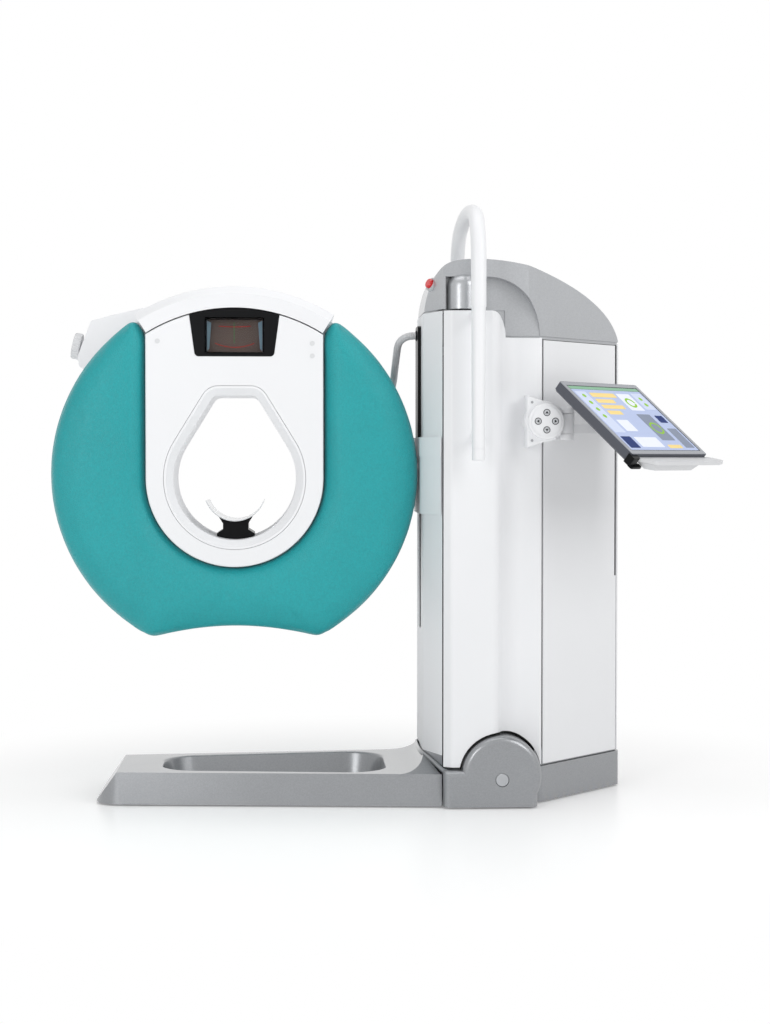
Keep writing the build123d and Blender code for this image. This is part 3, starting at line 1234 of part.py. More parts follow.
def pieces():
    """Every sub-part of the machine by its node's name."""
    gantry = {
        "front_pad": pad(),
        "rear_pad": mirrored(pad()),
        "ring_shell": ring_shell(),
        "front_cover": face_cover(True),
        "rear_cover": mirrored(face_cover(False)),
        "window_bezel": window_bezel(),
        "window_glass": window_glass(),
        "rest_stand": rest_stand(),
        "rest_tray": rest_tray(),
        "pod_housing": pod_housing(),
        "pod_knob": pod_knob(),
        "gantry_frame": gantry_frame(),
        "tilt_shaft": tilt_shaft(),
        "rotor_bearing": rotor_bearing(),
        "rotor_ring": rotor_ring(),
        "tube_head": tube_head(),
        "detector": detector(),
        "hose_gland": hose_gland(),
    }
    named = {name: AXIS * shape for name, shape in gantry.items()}
    named["cable_hose"] = cable_hose()
    named["base_tub"] = base_tub()
    named["chassis"] = chassis()
    named["levelling_feet"] = levelling_feet()
    named["skirt"] = skirt()
    for side, turn in (("near", lambda shape: shape), ("far", mirrored)):
        named["wheel_cover_" + side] = turn(wheel_cover())
        named["wheel_" + side] = turn(wheel())
    named["wheel_axles"] = [axle(), mirrored(axle())]
    named["column_cover_near"] = column_cover(-1)
    named["column_cover_far"] = column_cover(1)
    named["nose_cover"] = nose_cover()
    named["flank_panel"] = flank_panel()
    named["rear_panel"] = rear_panel()
    named["column_cap"] = column_cap()
    named["mast"] = mast()
    named["guide_rails"] = guide_rails()
    named["lift_screw"] = lift_screw()
    named["screw_bearings"] = screw_bearings()
    named["lift_motor"] = lift_motor()
    named["generator"] = generator()
    named["carriage_frame"] = carriage_frame()
    named["guide_blocks"] = guide_blocks()
    named["tilt_housing"] = tilt_housing()
    named["tilt_motor"] = tilt_motor()
    named["carriage_cover"] = carriage_cover()
    named["cable_post"] = cable_post()
    named["handrail"] = handrail()
    named["handrail_sleeves"] = [sleeve(), mirrored(sleeve())]
    named["handrail_standoffs"] = standoffs() + [mirrored(post) for post in standoffs()]
    named["control_bracket"] = control_bracket()
    for name, (x, z) in zip(("up", "left", "down", "right"), arrow_places()):
        named["button_" + name] = arrow_button(x, z)
    named["stop_bezel"] = stop_bezel()
    named["stop_button"] = stop_button()
    named["screen_arm"] = screen_arm()
    named["screen_shell"] = screen_shell()
    named["screen_glass"] = screen_glass()
    named["screen_shelf"] = screen_shelf()
    return named


def solids_of(shape):
    """The separate solids of one piece or of a group."""
    if isinstance(shape, list):
        return [solid for item in shape for solid in item.solids()]
    return list(shape.solids())


def build():
    """Writes one STEP file for each piece, with the origin under the machine's middle."""
    os.makedirs("parts", exist_ok=True)
    named = {name: solids_of(shape) for name, shape in pieces().items()}
    box = Compound([solid for solids in named.values() for solid in solids]).bounding_box()
    shift = Pos(-box.center().X, -box.center().Y, -box.min.Z)
    print("shift", round(-box.center().X, 4), round(-box.center().Y, 4), round(-box.min.Z, 4))
    for name, solids in named.items():
        moved = [shift * solid for solid in solids]
        shape = moved[0] if len(moved) == 1 else Compound(moved)
        export_step(shape, "parts/" + name + ".step")


build()
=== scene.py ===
"""Dresses the upright limb scanner: its finishes, soft pads, hose, touch screen and small trim."""
import json
import math

import bmesh
import bpy
import numpy as np
from mathutils import Matrix, Vector


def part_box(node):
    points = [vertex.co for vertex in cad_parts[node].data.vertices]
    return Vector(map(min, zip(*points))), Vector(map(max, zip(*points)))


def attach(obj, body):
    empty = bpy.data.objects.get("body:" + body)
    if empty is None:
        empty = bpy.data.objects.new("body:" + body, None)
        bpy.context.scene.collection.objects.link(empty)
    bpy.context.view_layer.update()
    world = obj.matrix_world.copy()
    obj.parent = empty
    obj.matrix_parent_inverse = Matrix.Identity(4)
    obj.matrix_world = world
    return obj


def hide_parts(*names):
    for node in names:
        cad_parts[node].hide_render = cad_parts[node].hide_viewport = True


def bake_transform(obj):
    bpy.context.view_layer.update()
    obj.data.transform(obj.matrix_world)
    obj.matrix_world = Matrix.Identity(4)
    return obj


bl_info = {
    "name": "Upright limb scanner",
    "version": (1, 0, 0),
    "blender": (4, 5, 0),
    "location": "View3D > Sidebar > Scanner",
    "description": "Pads, finishes, hose, screen and trim of an upright limb scanner",
    "category": "Object",
}

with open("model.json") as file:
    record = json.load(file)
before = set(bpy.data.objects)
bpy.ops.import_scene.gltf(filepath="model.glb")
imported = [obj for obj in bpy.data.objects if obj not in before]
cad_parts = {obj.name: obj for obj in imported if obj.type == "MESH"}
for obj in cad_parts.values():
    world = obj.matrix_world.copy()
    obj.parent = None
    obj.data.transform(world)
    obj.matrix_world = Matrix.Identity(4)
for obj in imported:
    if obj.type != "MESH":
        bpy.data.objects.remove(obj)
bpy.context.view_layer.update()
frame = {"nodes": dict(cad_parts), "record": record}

MM = 0.001


def middle(node):
    """The centre of a CAD node's box."""
    low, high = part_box(node)
    return (low + high) / 2


# The scanner is set out in millimetres from the gantry's centre, on the floor.
ORIGIN = Vector((middle("rotor_ring").x, middle("tilt_shaft").y, 0))
AXIS_HIGH = middle("tilt_shaft").z / MM


def at(x, y, z):
    """A point set out in millimetres, as metres in the frame."""
    return ORIGIN + Vector((x, y, z)) * MM


def linear(code):
    """An sRGB hex colour as linear red, green and blue."""
    parts = [int(code[i:i + 2], 16) / 255 for i in (1, 3, 5)]
    return tuple(c / 12.92 if c <= 0.04045 else ((c + 0.055) / 1.055) ** 2.4 for c in parts)


# Sizes and colours that a user would change

def length(name, text, millimetres):
    """A size in metres, given in millimetres."""
    return bpy.props.FloatProperty(name=name, description=text, default=millimetres * MM, unit="LENGTH",
                                   min=0.0, precision=4)


def colour(name, text, code):
    """A colour picked as sRGB hex and kept as linear."""
    return bpy.props.FloatVectorProperty(name=name, description=text, default=linear(code), size=3,
                                         subtype="COLOR", min=0.0, max=1.0)


class ScannerPadSizes(bpy.types.PropertyGroup):
    """Sizes of the two soft pads."""
    border: length("Border", "Radius of the pad's puffed border", 38)
    voxel: length("Mesh step", "Size of the pad's mesh cells", 7)
    swell: length("Swell", "How far the filling may push the cover out", 5)
    grain: length("Grain", "Width of one cell of the leatherette's grain", 5)
    crown: length("Crown", "How far the pad's face falls back towards its border", 12)


class ScannerTrimSizes(bpy.types.PropertyGroup):
    """Sizes of the small trim."""
    hose: length("Hose", "Diameter of the cable hose", 20)
    rib: length("Hose rib", "Distance between two ribs of the hose", 5)
    band: length("Base band", "Height of the rounded band at the column's foot", 14)
    plug: length("Plug", "Diameter of the cover plugs", 13)
    screw: length("Screw", "Diameter of the small cover screws", 7)
    rim: length("Button rim", "Outer radius of the rim round an arrow button", 9.2)


class ScannerColours(bpy.types.PropertyGroup):
    """Colours of the finishes."""
    teal: colour("Pad", "Leatherette of the pads", "#149CA1")
    cover: colour("Covers", "Moulded white covers", "#ECEDEF")
    base: colour("Base", "Metallic grey of the floor base", "#8F9194")
    cap: colour("Cap", "Silver of the column's cap", "#AEB0B3")
    hose: colour("Hose", "Cable hose", "#D9DADC")
    stop: colour("Stop", "Stop button", "#D8121A")
    case: colour("Screen case", "Case of the screen", "#4C4F58")


# Materials

# Noise seldom leaves this range, so it is stretched from here to the range that a finish needs.
NOISE_LOW = 0.25
NOISE_HIGH = 0.75
# A colour mix node's sockets.
MIX_FACTOR, MIX_FIRST, MIX_SECOND = 0, 6, 7
MIX_OUT = 2


def set_values(node, values):
    """Sets the values of a node's inputs."""
    for key, value in values.items():
        node.inputs[key].default_value = value


def feed(tree, node, links):
    """Links outputs to a node's inputs."""
    for key, source in links.items():
        tree.links.new(source, node.inputs[key])


def add_node(tree, kind, values=None, links=None, **settings):
    """Adds a node with its options, its input values and the sockets that feed it."""
    node = tree.nodes.new(kind)
    for key, value in settings.items():
        setattr(node, key, value)
    set_values(node, values or {})
    feed(tree, node, links or {})
    return node


def blank(name):
    """A new material with a Principled shader, its tree and its Object coordinates."""
    material = bpy.data.materials.new(name)
    material.use_nodes = True
    tree = material.node_tree
    tree.nodes.clear()
    out = add_node(tree, "ShaderNodeOutputMaterial")
    shader = add_node(tree, "ShaderNodeBsdfPrincipled")
    feed(tree, out, {"Surface": shader.outputs["BSDF"]})
    where = add_node(tree, "ShaderNodeTexCoord")
    return material, tree, shader, where.outputs["Object"]


def noise(tree, where, size, detail=3.0, rough=0.55):
    """Noise whose blobs are about one size across, in metres."""
    return add_node(tree, "ShaderNodeTexNoise", {"Scale": 1 / size, "Detail": detail, "Roughness": rough},
                    {"Vector": where}).outputs["Fac"]


def spread(tree, value, low, high):
    """Noise moved to run from low to high."""
    ends = {"From Min": NOISE_LOW, "From Max": NOISE_HIGH, "To Min": low, "To Max": high}
    return add_node(tree, "ShaderNodeMapRange", ends, {"Value": value}).outputs["Result"]


def tint(tree, factor, first, second):
    """A mix of two linear colours."""
    colours = {MIX_FIRST: (*first, 1), MIX_SECOND: (*second, 1)}
    return add_node(tree, "ShaderNodeMix", colours, {MIX_FACTOR: factor}, data_type="RGBA").outputs[MIX_OUT]


def times(tree, first, second):
    """A colour multiplied by a value."""
    return add_node(tree, "ShaderNodeMix", {MIX_FACTOR: 1.0}, {MIX_FIRST: first, MIX_SECOND: second},
                    data_type="RGBA", blend_type="MULTIPLY").outputs[MIX_OUT]


def add_bump(tree, shader, height, strength, depth):
    """Gives a shader a bump that is depth metres deep."""
    bump = add_node(tree, "ShaderNodeBump", {"Strength": strength, "Distance": depth}, {"Height": height})
    feed(tree, shader, {"Normal": bump.outputs["Normal"]})


def scaled(tree, value, share):
    """A value multiplied by a fixed number."""
    return add_node(tree, "ShaderNodeMath", {1: share}, {0: value}, operation="MULTIPLY").outputs[0]


def shade(base, share):
    """A colour made darker or lighter by a share."""
    return tuple(min(1.0, c * share) for c in base)


def moulded(name, base, rough, grain, depth, metallic=0.0, coat=0.0, mottle=0.04, patch=0.12, gloss=0.5):
    """A hard finish: faint patches, uneven gloss and a fine grain whose width and depth are in metres."""
    material, tree, shader, where = blank(name)
    patches = noise(tree, where, patch)
    fine = noise(tree, where, grain, 2.0, 0.6)
    feed(tree, shader, {
        "Base Color": tint(tree, patches, shade(base, 1 - mottle), shade(base, 1 + mottle / 2)),
        "Roughness": spread(tree, patches, rough * 0.85, rough * 1.15)})
    add_bump(tree, shader, fine, 0.35, depth)
    set_values(shader, {"Metallic": metallic, "Coat Weight": coat, "Coat Roughness": 0.12,
                        "Specular IOR Level": gloss})
    return material


def leatherette(name, base, grain):
    """Embossed PVC leatherette: rounded cells with soft creases between them and a low sheen."""
    material, tree, shader, where = blank(name)
    warp = add_node(tree, "ShaderNodeTexNoise", {"Scale": 1 / (grain * 3), "Detail": 2.0}, {"Vector": where})
    shift = add_node(tree, "ShaderNodeVectorMath", {1: (grain * 0.8,) * 3}, {0: warp.outputs["Color"]},
                     operation="MULTIPLY")
    moved = add_node(tree, "ShaderNodeVectorMath", links={0: where, 1: shift.outputs[0]}, operation="ADD")
    cells = add_node(tree, "ShaderNodeTexVoronoi", {"Scale": 1 / grain}, {"Vector": moved.outputs[0]},
                     feature="DISTANCE_TO_EDGE")
    crease = add_node(tree, "ShaderNodeMapRange", {"From Min": 0.0, "From Max": 0.22},
                      {"Value": cells.outputs[0]})
    cloud = noise(tree, where, 0.18, 4.0)
    speck = noise(tree, where, grain * 0.9, 4.0, 0.7)
    blotch = tint(tree, cloud, shade(base, 0.90), shade(base, 1.10))
    feed(tree, shader, {"Base Color": times(tree, blotch, spread(tree, speck, 0.84, 1.12)),
                        "Roughness": spread(tree, cloud, 0.40, 0.50)})
    height = add_node(tree, "ShaderNodeMath", links={0: crease.outputs["Result"], 1: speck}, operation="ADD")
    add_bump(tree, shader, height.outputs[0], 0.45, 0.0008)
    set_values(shader, {"Sheen Weight": 0.15, "Sheen Roughness": 0.4, "Specular IOR Level": 0.45})
    return material


def metallic_paint(name, base, rough, coat):
    """Metallic lacquer under a clear coat, whose flakes' sparkle is painted as lighter and darker cells of
    colour.
    """
    material, tree, shader, where = blank(name)
    # Real flakes are far under 0.1 mm; these are drawn 2.5 mm wide so that they show.
    flakes = add_node(tree, "ShaderNodeTexVoronoi", {"Scale": 1 / 0.0025}, {"Vector": where})
    cloud = noise(tree, where, 0.25, 3.0)
    # Painted sparkle: each flake's cell is a little lighter or darker in colour.
    painted_flake_glint = add_node(tree, "ShaderNodeSeparateColor", links={"Color": flakes.outputs["Color"]})
    painted_flake_colour = tint(tree, painted_flake_glint.outputs[0], shade(base, 0.95), shade(base, 1.05))
    feed(tree, shader, {"Base Color": times(tree, painted_flake_colour, spread(tree, cloud, 0.97, 1.03)),
                        "Roughness": spread(tree, cloud, rough * 0.9, rough * 1.1)})
    add_bump(tree, shader, noise(tree, where, 0.004, 1.0), 0.12, 0.0001)
    set_values(shader, {"Metallic": 0.5, "Coat Weight": coat, "Coat Roughness": 0.15})
    return material


def turned_steel(name, base, rough):
    """Machined steel: fine rings and streaks left by the tool."""
    material, tree, shader, where = blank(name)
    stretch = add_node(tree, "ShaderNodeMapping", {"Scale": (1.0, 1.0, 0.04)}, {"Vector": where})
    streaks = noise(tree, stretch.outputs[0], 0.002, 2.0)
    feed(tree, shader, {"Base Color": tint(tree, streaks, shade(base, 0.85), shade(base, 1.05)),
                        "Roughness": spread(tree, streaks, rough * 0.8, rough * 1.3)})
    add_bump(tree, shader, streaks, 0.2, 0.0001)
    set_values(shader, {"Metallic": 1.0})
    return material


def clear_pane(name, base, through, rough, index=1.45):
    """A polished pane or clear sheet that lets light through, faintly smudged."""
    material, tree, shader, where = blank(name)
    smudge = noise(tree, where, 0.03, 4.0)
    feed(tree, shader, {"Roughness": spread(tree, smudge, rough, rough + 0.02)})
    set_values(shader, {"Base Color": (*base, 1), "Transmission Weight": through, "IOR": index})
    return material


def hose_skin(name, base, pitch):
    """Ribbed PVC hose: rings along the hose's own length, read from the mesh's attribute."""
    material, tree, shader, where = blank(name)
    along = add_node(tree, "ShaderNodeAttribute", attribute_name="along")
    beat = scaled(tree, along.outputs["Fac"], 2 * math.pi / pitch)
    rib = add_node(tree, "ShaderNodeMath", links={0: beat}, operation="SINE")
    dust = noise(tree, where, 0.02, 3.0)
    feed(tree, shader, {"Base Color": tint(tree, dust, shade(base, 0.9), base)})
    add_bump(tree, shader, rib.outputs[0], 0.5, 0.0012)
    set_values(shader, {"Roughness": 0.42})
    return material


def lit_panel(name, code, glow, rough=0.5):
    """A glowing part under smooth glass, faintly uneven: the display's picture and the laser line give off
    light, while on the window's arcs and blades the glow is painted light.
    """
    material, tree, shader, where = blank(name)
    base = linear(code)
    cells = noise(tree, where, 0.02, 2.0)
    feed(tree, shader, {"Base Color": tint(tree, cells, shade(base, 0.96), base)})
    set_values(shader, {"Emission Color": (*base, 1), "Emission Strength": glow, "Roughness": rough,
                        "Specular IOR Level": 0.1})
    return material


def build_materials():
    """Every finish, by the record's slot or by the piece that wears it."""
    tone = bpy.context.scene.scanner_colours
    pads = bpy.context.scene.scanner_pads
    trim = bpy.context.scene.scanner_trim
    white = tuple(tone.cover)
    return {
        # Moulded ABS with a satin texture: soft highlights and barely any colour change.
        "white_cover": moulded("moulded_abs_white", white, 0.42, 0.0015, 0.0001, mottle=0.015),
        # Grain cells are drawn 5 mm wide; the real ones, under 1 mm, would not show.
        "teal_pad": leatherette("pvc_leatherette_teal", tuple(tone.teal), pads.grain),
        "grey_base": metallic_paint("metallic_lacquer_grey", tuple(tone.base), 0.30, 0.7),
        "silver_cap": metallic_paint("metallic_lacquer_silver", tuple(tone.cap), 0.33, 0.5),
        # Powder coat on steel tube shows a slight orange peel.
        "white_tube": moulded("powder_coated_steel", white, 0.45, 0.002, 0.0001, mottle=0.0),
        # A polished black reads darker than the white room it mirrors, so its gloss is held back.
        "black_plastic": moulded("moulded_abs_black", linear("#0C0D0F"), 0.30, 0.0012, 0.0001, gloss=0.12),
        "dark_case": moulded("moulded_abs_slate", tuple(tone.case), 0.36, 0.0012, 0.0001, mottle=0.06),
        # The pane is coated against reflections, so its index is set far below plain glass.
        "glass": clear_pane("coated_glass", linear("#E4E6E8"), 1.0, 0.0, 1.14),
        "clear_tray": clear_pane("thermoformed_petg", linear("#EEF1F4"), 0.45, 0.10),
        "grey_hose": moulded("moulded_pvc_grey", tuple(tone.hose), 0.42, 0.001, 0.0001),
        # This white, worn by the cover plugs, is painted a little darker than the covers' white as painted
        # shade, so the plugs show on the white cover.
        "white_knob": moulded("moulded_abs_knob_painted_shade", linear("#DCDDDF"), 0.40, 0.0015, 0.0002),
        # The shelf sits in shade under the screen, so its white is painted greyer as painted shade, which
        # keeps its edge against white.
        "shelf": moulded("moulded_abs_shelf_painted_shade", linear("#D3D4D6"), 0.42, 0.0015, 0.0001, mottle=0.02),
        "red_button": moulded("moulded_abs_red", tuple(tone.stop), 0.18, 0.002, 0.00005, coat=0.6),
        "grey_button": moulded("moulded_silicone_grey", linear("#C9CBCE"), 0.45, 0.001, 0.0001),
        "rubber": moulded("moulded_rubber", linear("#222224"), 0.75, 0.002, 0.0003, mottle=0.15),
        "tyre": moulded("cast_polyurethane", linear("#5A5B5D"), 0.55, 0.003, 0.0002, mottle=0.12),
        "steel": turned_steel("machined_steel", linear("#B4B6B9"), 0.32),
        "cast_aluminium": moulded("cast_aluminium", linear("#C2C4C6"), 0.50, 0.004, 0.0004, metallic=1.0),
        "machine_grey": moulded("enamelled_steel", linear("#A9ABAE"), 0.40, 0.003, 0.0002, coat=0.2),
        "hose_skin": hose_skin("ribbed_pvc", tuple(tone.hose), trim.rib),
    }


MATERIALS = {}


def finish_of(slot):
    """The material that stands for a slot of the record, or for a piece with its own finish."""
    return MATERIALS[slot]


# Mesh helpers

# Faces that meet at less than this many degrees are shaded as one.
SMOOTH_ANGLE = 40.0
KEEL_SMOOTH_ANGLE = 25.0
HOSE_SMOOTH_ANGLE = 50.0
CORNER_STEPS = 4
DOT_STEPS = 24


def link_object(name, data):
    """A new object in the scene."""
    thing = bpy.data.objects.new(name, data)
    bpy.context.scene.collection.objects.link(thing)
    return thing


def finished_object(name, mesh, material):
    """Links a mesh with its material."""
    piece = link_object(name, mesh)
    if material is not None:
        mesh.materials.clear()
        mesh.materials.append(material)
    return piece


def new_piece(name, mesh, material, body):
    """Links a finished mesh as a piece that rides on a body."""
    piece = finished_object(name, mesh, material)
    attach(piece, body)
    return piece


def soften(mesh, angle=SMOOTH_ANGLE):
    """Shades a mesh smooth, with an edge kept where faces meet at more than the angle."""
    mesh.shade_smooth()
    mesh.set_sharp_from_angle(angle=math.radians(angle))
    return mesh


def finished_mesh(name, shape):
    """The mesh of a bmesh, which is then freed."""
    mesh = bpy.data.meshes.new(name)
    shape.to_mesh(mesh)
    shape.free()
    return mesh


def shape_piece(name, shape, material, body, slot, angle=SMOOTH_ANGLE):
    """Turns a bmesh into a piece that rides on a body."""
    bmesh.ops.remove_doubles(shape, verts=shape.verts, dist=1e-6)
    bmesh.ops.recalc_face_normals(shape, faces=shape.faces)
    return new_piece(name, soften(finished_mesh(name, shape), angle), material, body)


def plate_piece(name, place, plates, *dress):
    """Makes a piece of closed plates, each an outline with its lower and upper height."""
    shape = bmesh.new()
    for outline, low, high in plates:
        add_plate(shape, outline, place, low, high)
    return shape_piece(name, shape, *dress)


def evaluated_mesh(source):
    """The mesh of an object with its modifiers applied."""
    return bpy.data.meshes.new_from_object(source.evaluated_get(bpy.context.evaluated_depsgraph_get()))


def add_plate(shape, points, place, low, high):
    """Adds a closed plate: an outline in two axes, between two heights, put in place by a matrix."""
    bottom = [shape.verts.new(place @ Vector((x, y, low))) for x, y in points]
    top = [shape.verts.new(place @ Vector((x, y, high))) for x, y in points]
    count = len(points)
    shape.faces.new(bottom[::-1])
    shape.faces.new(top)
    for i in range(count):
        j = (i + 1) % count
        shape.faces.new((bottom[i], bottom[j], top[j], top[i]))


def add_block(shape, corners, place, bevel=3.0):
    """Adds a six-sided block from its eight corners, one face after the other, with softened edges."""
    verts = [shape.verts.new(place @ Vector(corner)) for corner in corners]
    faces = [shape.faces.new([verts[i] for i in loop])
             for loop in ((0, 1, 2, 3), (4, 5, 6, 7), (0, 1, 5, 4), (1, 2, 6, 5), (2, 3, 7, 6), (3, 0, 4, 7))]
    bmesh.ops.recalc_face_normals(shape, faces=faces)
    edges = list({edge for face in faces for edge in face.edges})
    bmesh.ops.bevel(shape, geom=edges, offset=bevel * MM, segments=3, profile=0.5, affect="EDGES")


def round_rect(x0, x1, y0, y1, radius):
    """A rectangle's outline with rounded corners."""
    points = []
    for cx, cy, start in ((x1 - radius, y1 - radius, 0), (x0 + radius, y1 - radius, 90),
                          (x0 + radius, y0 + radius, 180), (x1 - radius, y0 + radius, 270)):
        for i in range(CORNER_STEPS + 1):
            turn = math.radians(start + 90 * i / CORNER_STEPS)
            points.append((cx + radius * math.cos(turn), cy + radius * math.sin(turn)))
    return points


def round_dot(x, y, radius):
    """A circle's outline."""
    turns = [2 * math.pi * i / DOT_STEPS for i in range(DOT_STEPS)]
    return [(x + radius * math.cos(t), y + radius * math.sin(t)) for t in turns]


def add_ring(shape, place, outer, inner, sweep, low, high, steps=DOT_STEPS):
    """Adds a closed part of a flat ring that sweeps through an angle, in degrees."""
    arc = [math.radians(sweep * i / steps) for i in range(steps + 1)]
    points = [(outer * math.cos(t), outer * math.sin(t)) for t in arc]
    points += [(inner * math.cos(t), inner * math.sin(t)) for t in reversed(arc)]
    add_plate(shape, points, place, low, high)


def upright_place(x, y, z):
    """A matrix whose X runs along X, Y up and Z towards the user, in millimetres from a point."""
    turn = Matrix(((1, 0, 0), (0, 0, -1), (0, 1, 0))).to_4x4()
    return Matrix.Translation(at(x, y, z)) @ turn @ Matrix.Scale(MM, 4)


# Geometry Nodes trees

def tree_for(name, sockets):
    """A new Geometry Nodes tree, the sockets of its named inputs and its output node."""
    tree = bpy.data.node_groups.new(name, "GeometryNodeTree")
    tree.interface.new_socket("Geometry", in_out="INPUT", socket_type="NodeSocketGeometry")
    for label, kind, value in sockets:
        socket = tree.interface.new_socket(label, in_out="INPUT", socket_type=kind)
        if value is not None:
            socket.default_value = value
    tree.interface.new_socket("Geometry", in_out="OUTPUT", socket_type="NodeSocketGeometry")
    return tree, add_node(tree, "NodeGroupInput").outputs, add_node(tree, "NodeGroupOutput")


def close_tree(tree, given, out, geometry):
    """Makes any instances real, gives the result its finish and sends it out."""
    real = add_node(tree, "GeometryNodeRealizeInstances", links={"Geometry": geometry})
    dressed = add_node(tree, "GeometryNodeSetMaterial", links={
        "Geometry": real.outputs["Geometry"], "Material": given["Finish"]})
    feed(tree, out, {"Geometry": dressed.outputs["Geometry"]})
    return tree


def stud_tree():
    """Puts a small domed stud on every point, facing the user and turned about the upright."""
    tree, given, out = tree_for("cover_studs", (
        ("Radius", "NodeSocketFloat", 0.0065), ("Proud", "NodeSocketFloat", 0.001),
        ("Sides", "NodeSocketInt", 24), ("Turn", "NodeSocketFloat", 0.0),
        ("Finish", "NodeSocketMaterial", None)))
    head, crown = (add_node(tree, "GeometryNodeMeshCylinder", links={
        "Vertices": given["Sides"], "Radius": radius, "Depth": given["Proud"]})
        for radius in (given["Radius"], scaled(tree, given["Radius"], 0.72)))
    lift = add_node(tree, "ShaderNodeCombineXYZ", links={"Z": scaled(tree, given["Proud"], 0.5)})
    raised = add_node(tree, "GeometryNodeTransform", links={
        "Geometry": crown.outputs["Mesh"], "Translation": lift.outputs[0]})
    both = add_node(tree, "GeometryNodeJoinGeometry")
    for part in (head.outputs["Mesh"], raised.outputs["Geometry"]):
        feed(tree, both, {"Geometry": part})
    facing = add_node(tree, "ShaderNodeCombineXYZ", {"X": math.radians(90)}, {"Z": given["Turn"]})
    dots = add_node(tree, "GeometryNodeInstanceOnPoints", links={
        "Points": given["Geometry"], "Instance": both.outputs["Geometry"],
        "Rotation": facing.outputs[0]})
    return close_tree(tree, given, out, dots.outputs["Instances"])


def trim_tree():
    """Sweeps an oval section along a path, closed at both ends."""
    tree, given, out = tree_for("swept_trim", (
        ("Height", "NodeSocketFloat", 0.014), ("Flatness", "NodeSocketFloat", 0.6),
        ("Sides", "NodeSocketInt", 16), ("Finish", "NodeSocketMaterial", None)))
    half = scaled(tree, given["Height"], 0.5)
    path = add_node(tree, "GeometryNodeMeshToCurve", links={"Mesh": given["Geometry"]})
    section = add_node(tree, "GeometryNodeCurvePrimitiveCircle", links={
        "Resolution": given["Sides"], "Radius": half})
    squeeze = add_node(tree, "ShaderNodeCombineXYZ", {"Y": 1.0, "Z": 1.0}, {"X": given["Flatness"]})
    oval = add_node(tree, "GeometryNodeTransform", links={
        "Geometry": section.outputs["Curve"], "Scale": squeeze.outputs[0]})
    swept = add_node(tree, "GeometryNodeCurveToMesh", {"Fill Caps": True}, {
        "Curve": path.outputs["Curve"], "Profile Curve": oval.outputs["Geometry"]})
    return close_tree(tree, given, out, swept.outputs["Mesh"])


def grow_piece(name, mesh, tree, values, body):
    """Runs a Geometry Nodes tree on a mesh, keeps the plain result and drops the modifier."""
    seed = link_object(name + "_seed", mesh)
    modifier = seed.modifiers.new("nodes", "NODES")
    modifier.node_group = tree
    for socket in tree.interface.items_tree:
        if socket.item_type == "SOCKET" and socket.in_out == "INPUT" and socket.name in values:
            modifier[socket.identifier] = values[socket.name]
    bpy.context.view_layer.update()
    result = evaluated_mesh(seed)
    result.name = name
    bpy.data.objects.remove(seed)
    return new_piece(name, soften(result), None, body)


def point_mesh(name, points, joined=False):
    """A mesh of points in metres, joined one after another where asked."""
    mesh = bpy.data.meshes.new(name)
    edges = [(i, i + 1) for i in range(len(points) - 1)] if joined else []
    mesh.from_pydata([tuple(p) for p in points], edges, [])
    return mesh


# Soft pads

# The pad is a disc less the round-bottomed channel of the bore and a wide notch at its foot, and
# its two tips end on lines through the gantry's centre, this many degrees above level.
GANTRY_R = 487.0
CHANNEL_HALF = 237.0
BORE_DROP = 12.0
NOTCH_R = 800.0
NOTCH_HIGH = -404.0
TIP_ANGLE = 57.4
BLEND_ROUND = 30.0
# How far in from the border, and how deep behind the face, the crown still shows.
CROWN_REACH = 115.0
CROWN_DEPTH = 45.0
# The filling's push, the cover's resistance, and how far behind the border the pad stays put.
FILL_PRESSURE = 4.0
FILL_FRAMES = 20
COVER_TENSION = 12
COVER_BENDING = 1.0
GLUED_BEHIND = 8


def border_distance(x, z):
    """How far points lie inside the pad's outline, in millimetres, with rounded corners."""
    disc = GANTRY_R - np.hypot(x, z)
    channel = np.where(z > -BORE_DROP, np.abs(x), np.hypot(x, z + BORE_DROP)) - CHANNEL_HALF
    notch = np.hypot(x, z - NOTCH_HIGH + NOTCH_R) - NOTCH_R
    turn = math.radians(TIP_ANGLE)
    tip = np.abs(x) * math.sin(turn) - z * math.cos(turn)
    nearest = disc
    for other in (channel, notch, tip):
        near = np.clip(0.5 + 0.5 * (other - nearest) / BLEND_ROUND, 0, 1)
        nearest = other * (1 - near) + nearest * near - BLEND_ROUND * near * (1 - near) * 0.5
    return nearest


def puff_border(points, front, radius, crown):
    """Moves the points near the front border onto a round edge and crowns the face, as stuffing does."""
    x, y, z = points.T
    inside = border_distance(x, z)
    step = 0.5
    slope_x = (border_distance(x + step, z) - border_distance(x - step, z)) / (2 * step)
    slope_z = (border_distance(x, z + step) - border_distance(x, z - step)) / (2 * step)
    size = np.maximum(np.hypot(slope_x, slope_z), 1e-6)
    deep = y - front
    away_in = inside - radius
    away_deep = deep - radius
    zone = (away_in < 0) & (away_deep < 0)
    reach = np.maximum(np.hypot(away_in, away_deep), 1e-6)
    pull = np.where(zone & (reach > radius), radius / reach, 1.0)
    new_in = radius + away_in * pull
    new_deep = radius + away_deep * pull
    move_in = np.where(zone, new_in - inside, 0.0)
    out = points.copy()
    out[:, 0] = x + move_in * slope_x / size
    out[:, 2] = z + move_in * slope_z / size
    out[:, 1] = np.where(zone, front + new_deep, y)
    edge_share = 1 - np.clip(inside / CROWN_REACH, 0, 1)
    face_share = np.clip(1 - (out[:, 1] - front) / CROWN_DEPTH, 0, 1)
    out[:, 1] += crown * edge_share ** 2 * face_share
    return out


def set_points(mesh, points):
    """Writes an array of points into a mesh."""
    mesh.vertices.foreach_set("co", points.astype(np.float32).ravel())
    mesh.update()


def get_points(mesh):
    """The points of a mesh as an array."""
    points = np.zeros(len(mesh.vertices) * 3, np.float32)
    mesh.vertices.foreach_get("co", points)
    return points.reshape(-1, 3).astype(float)


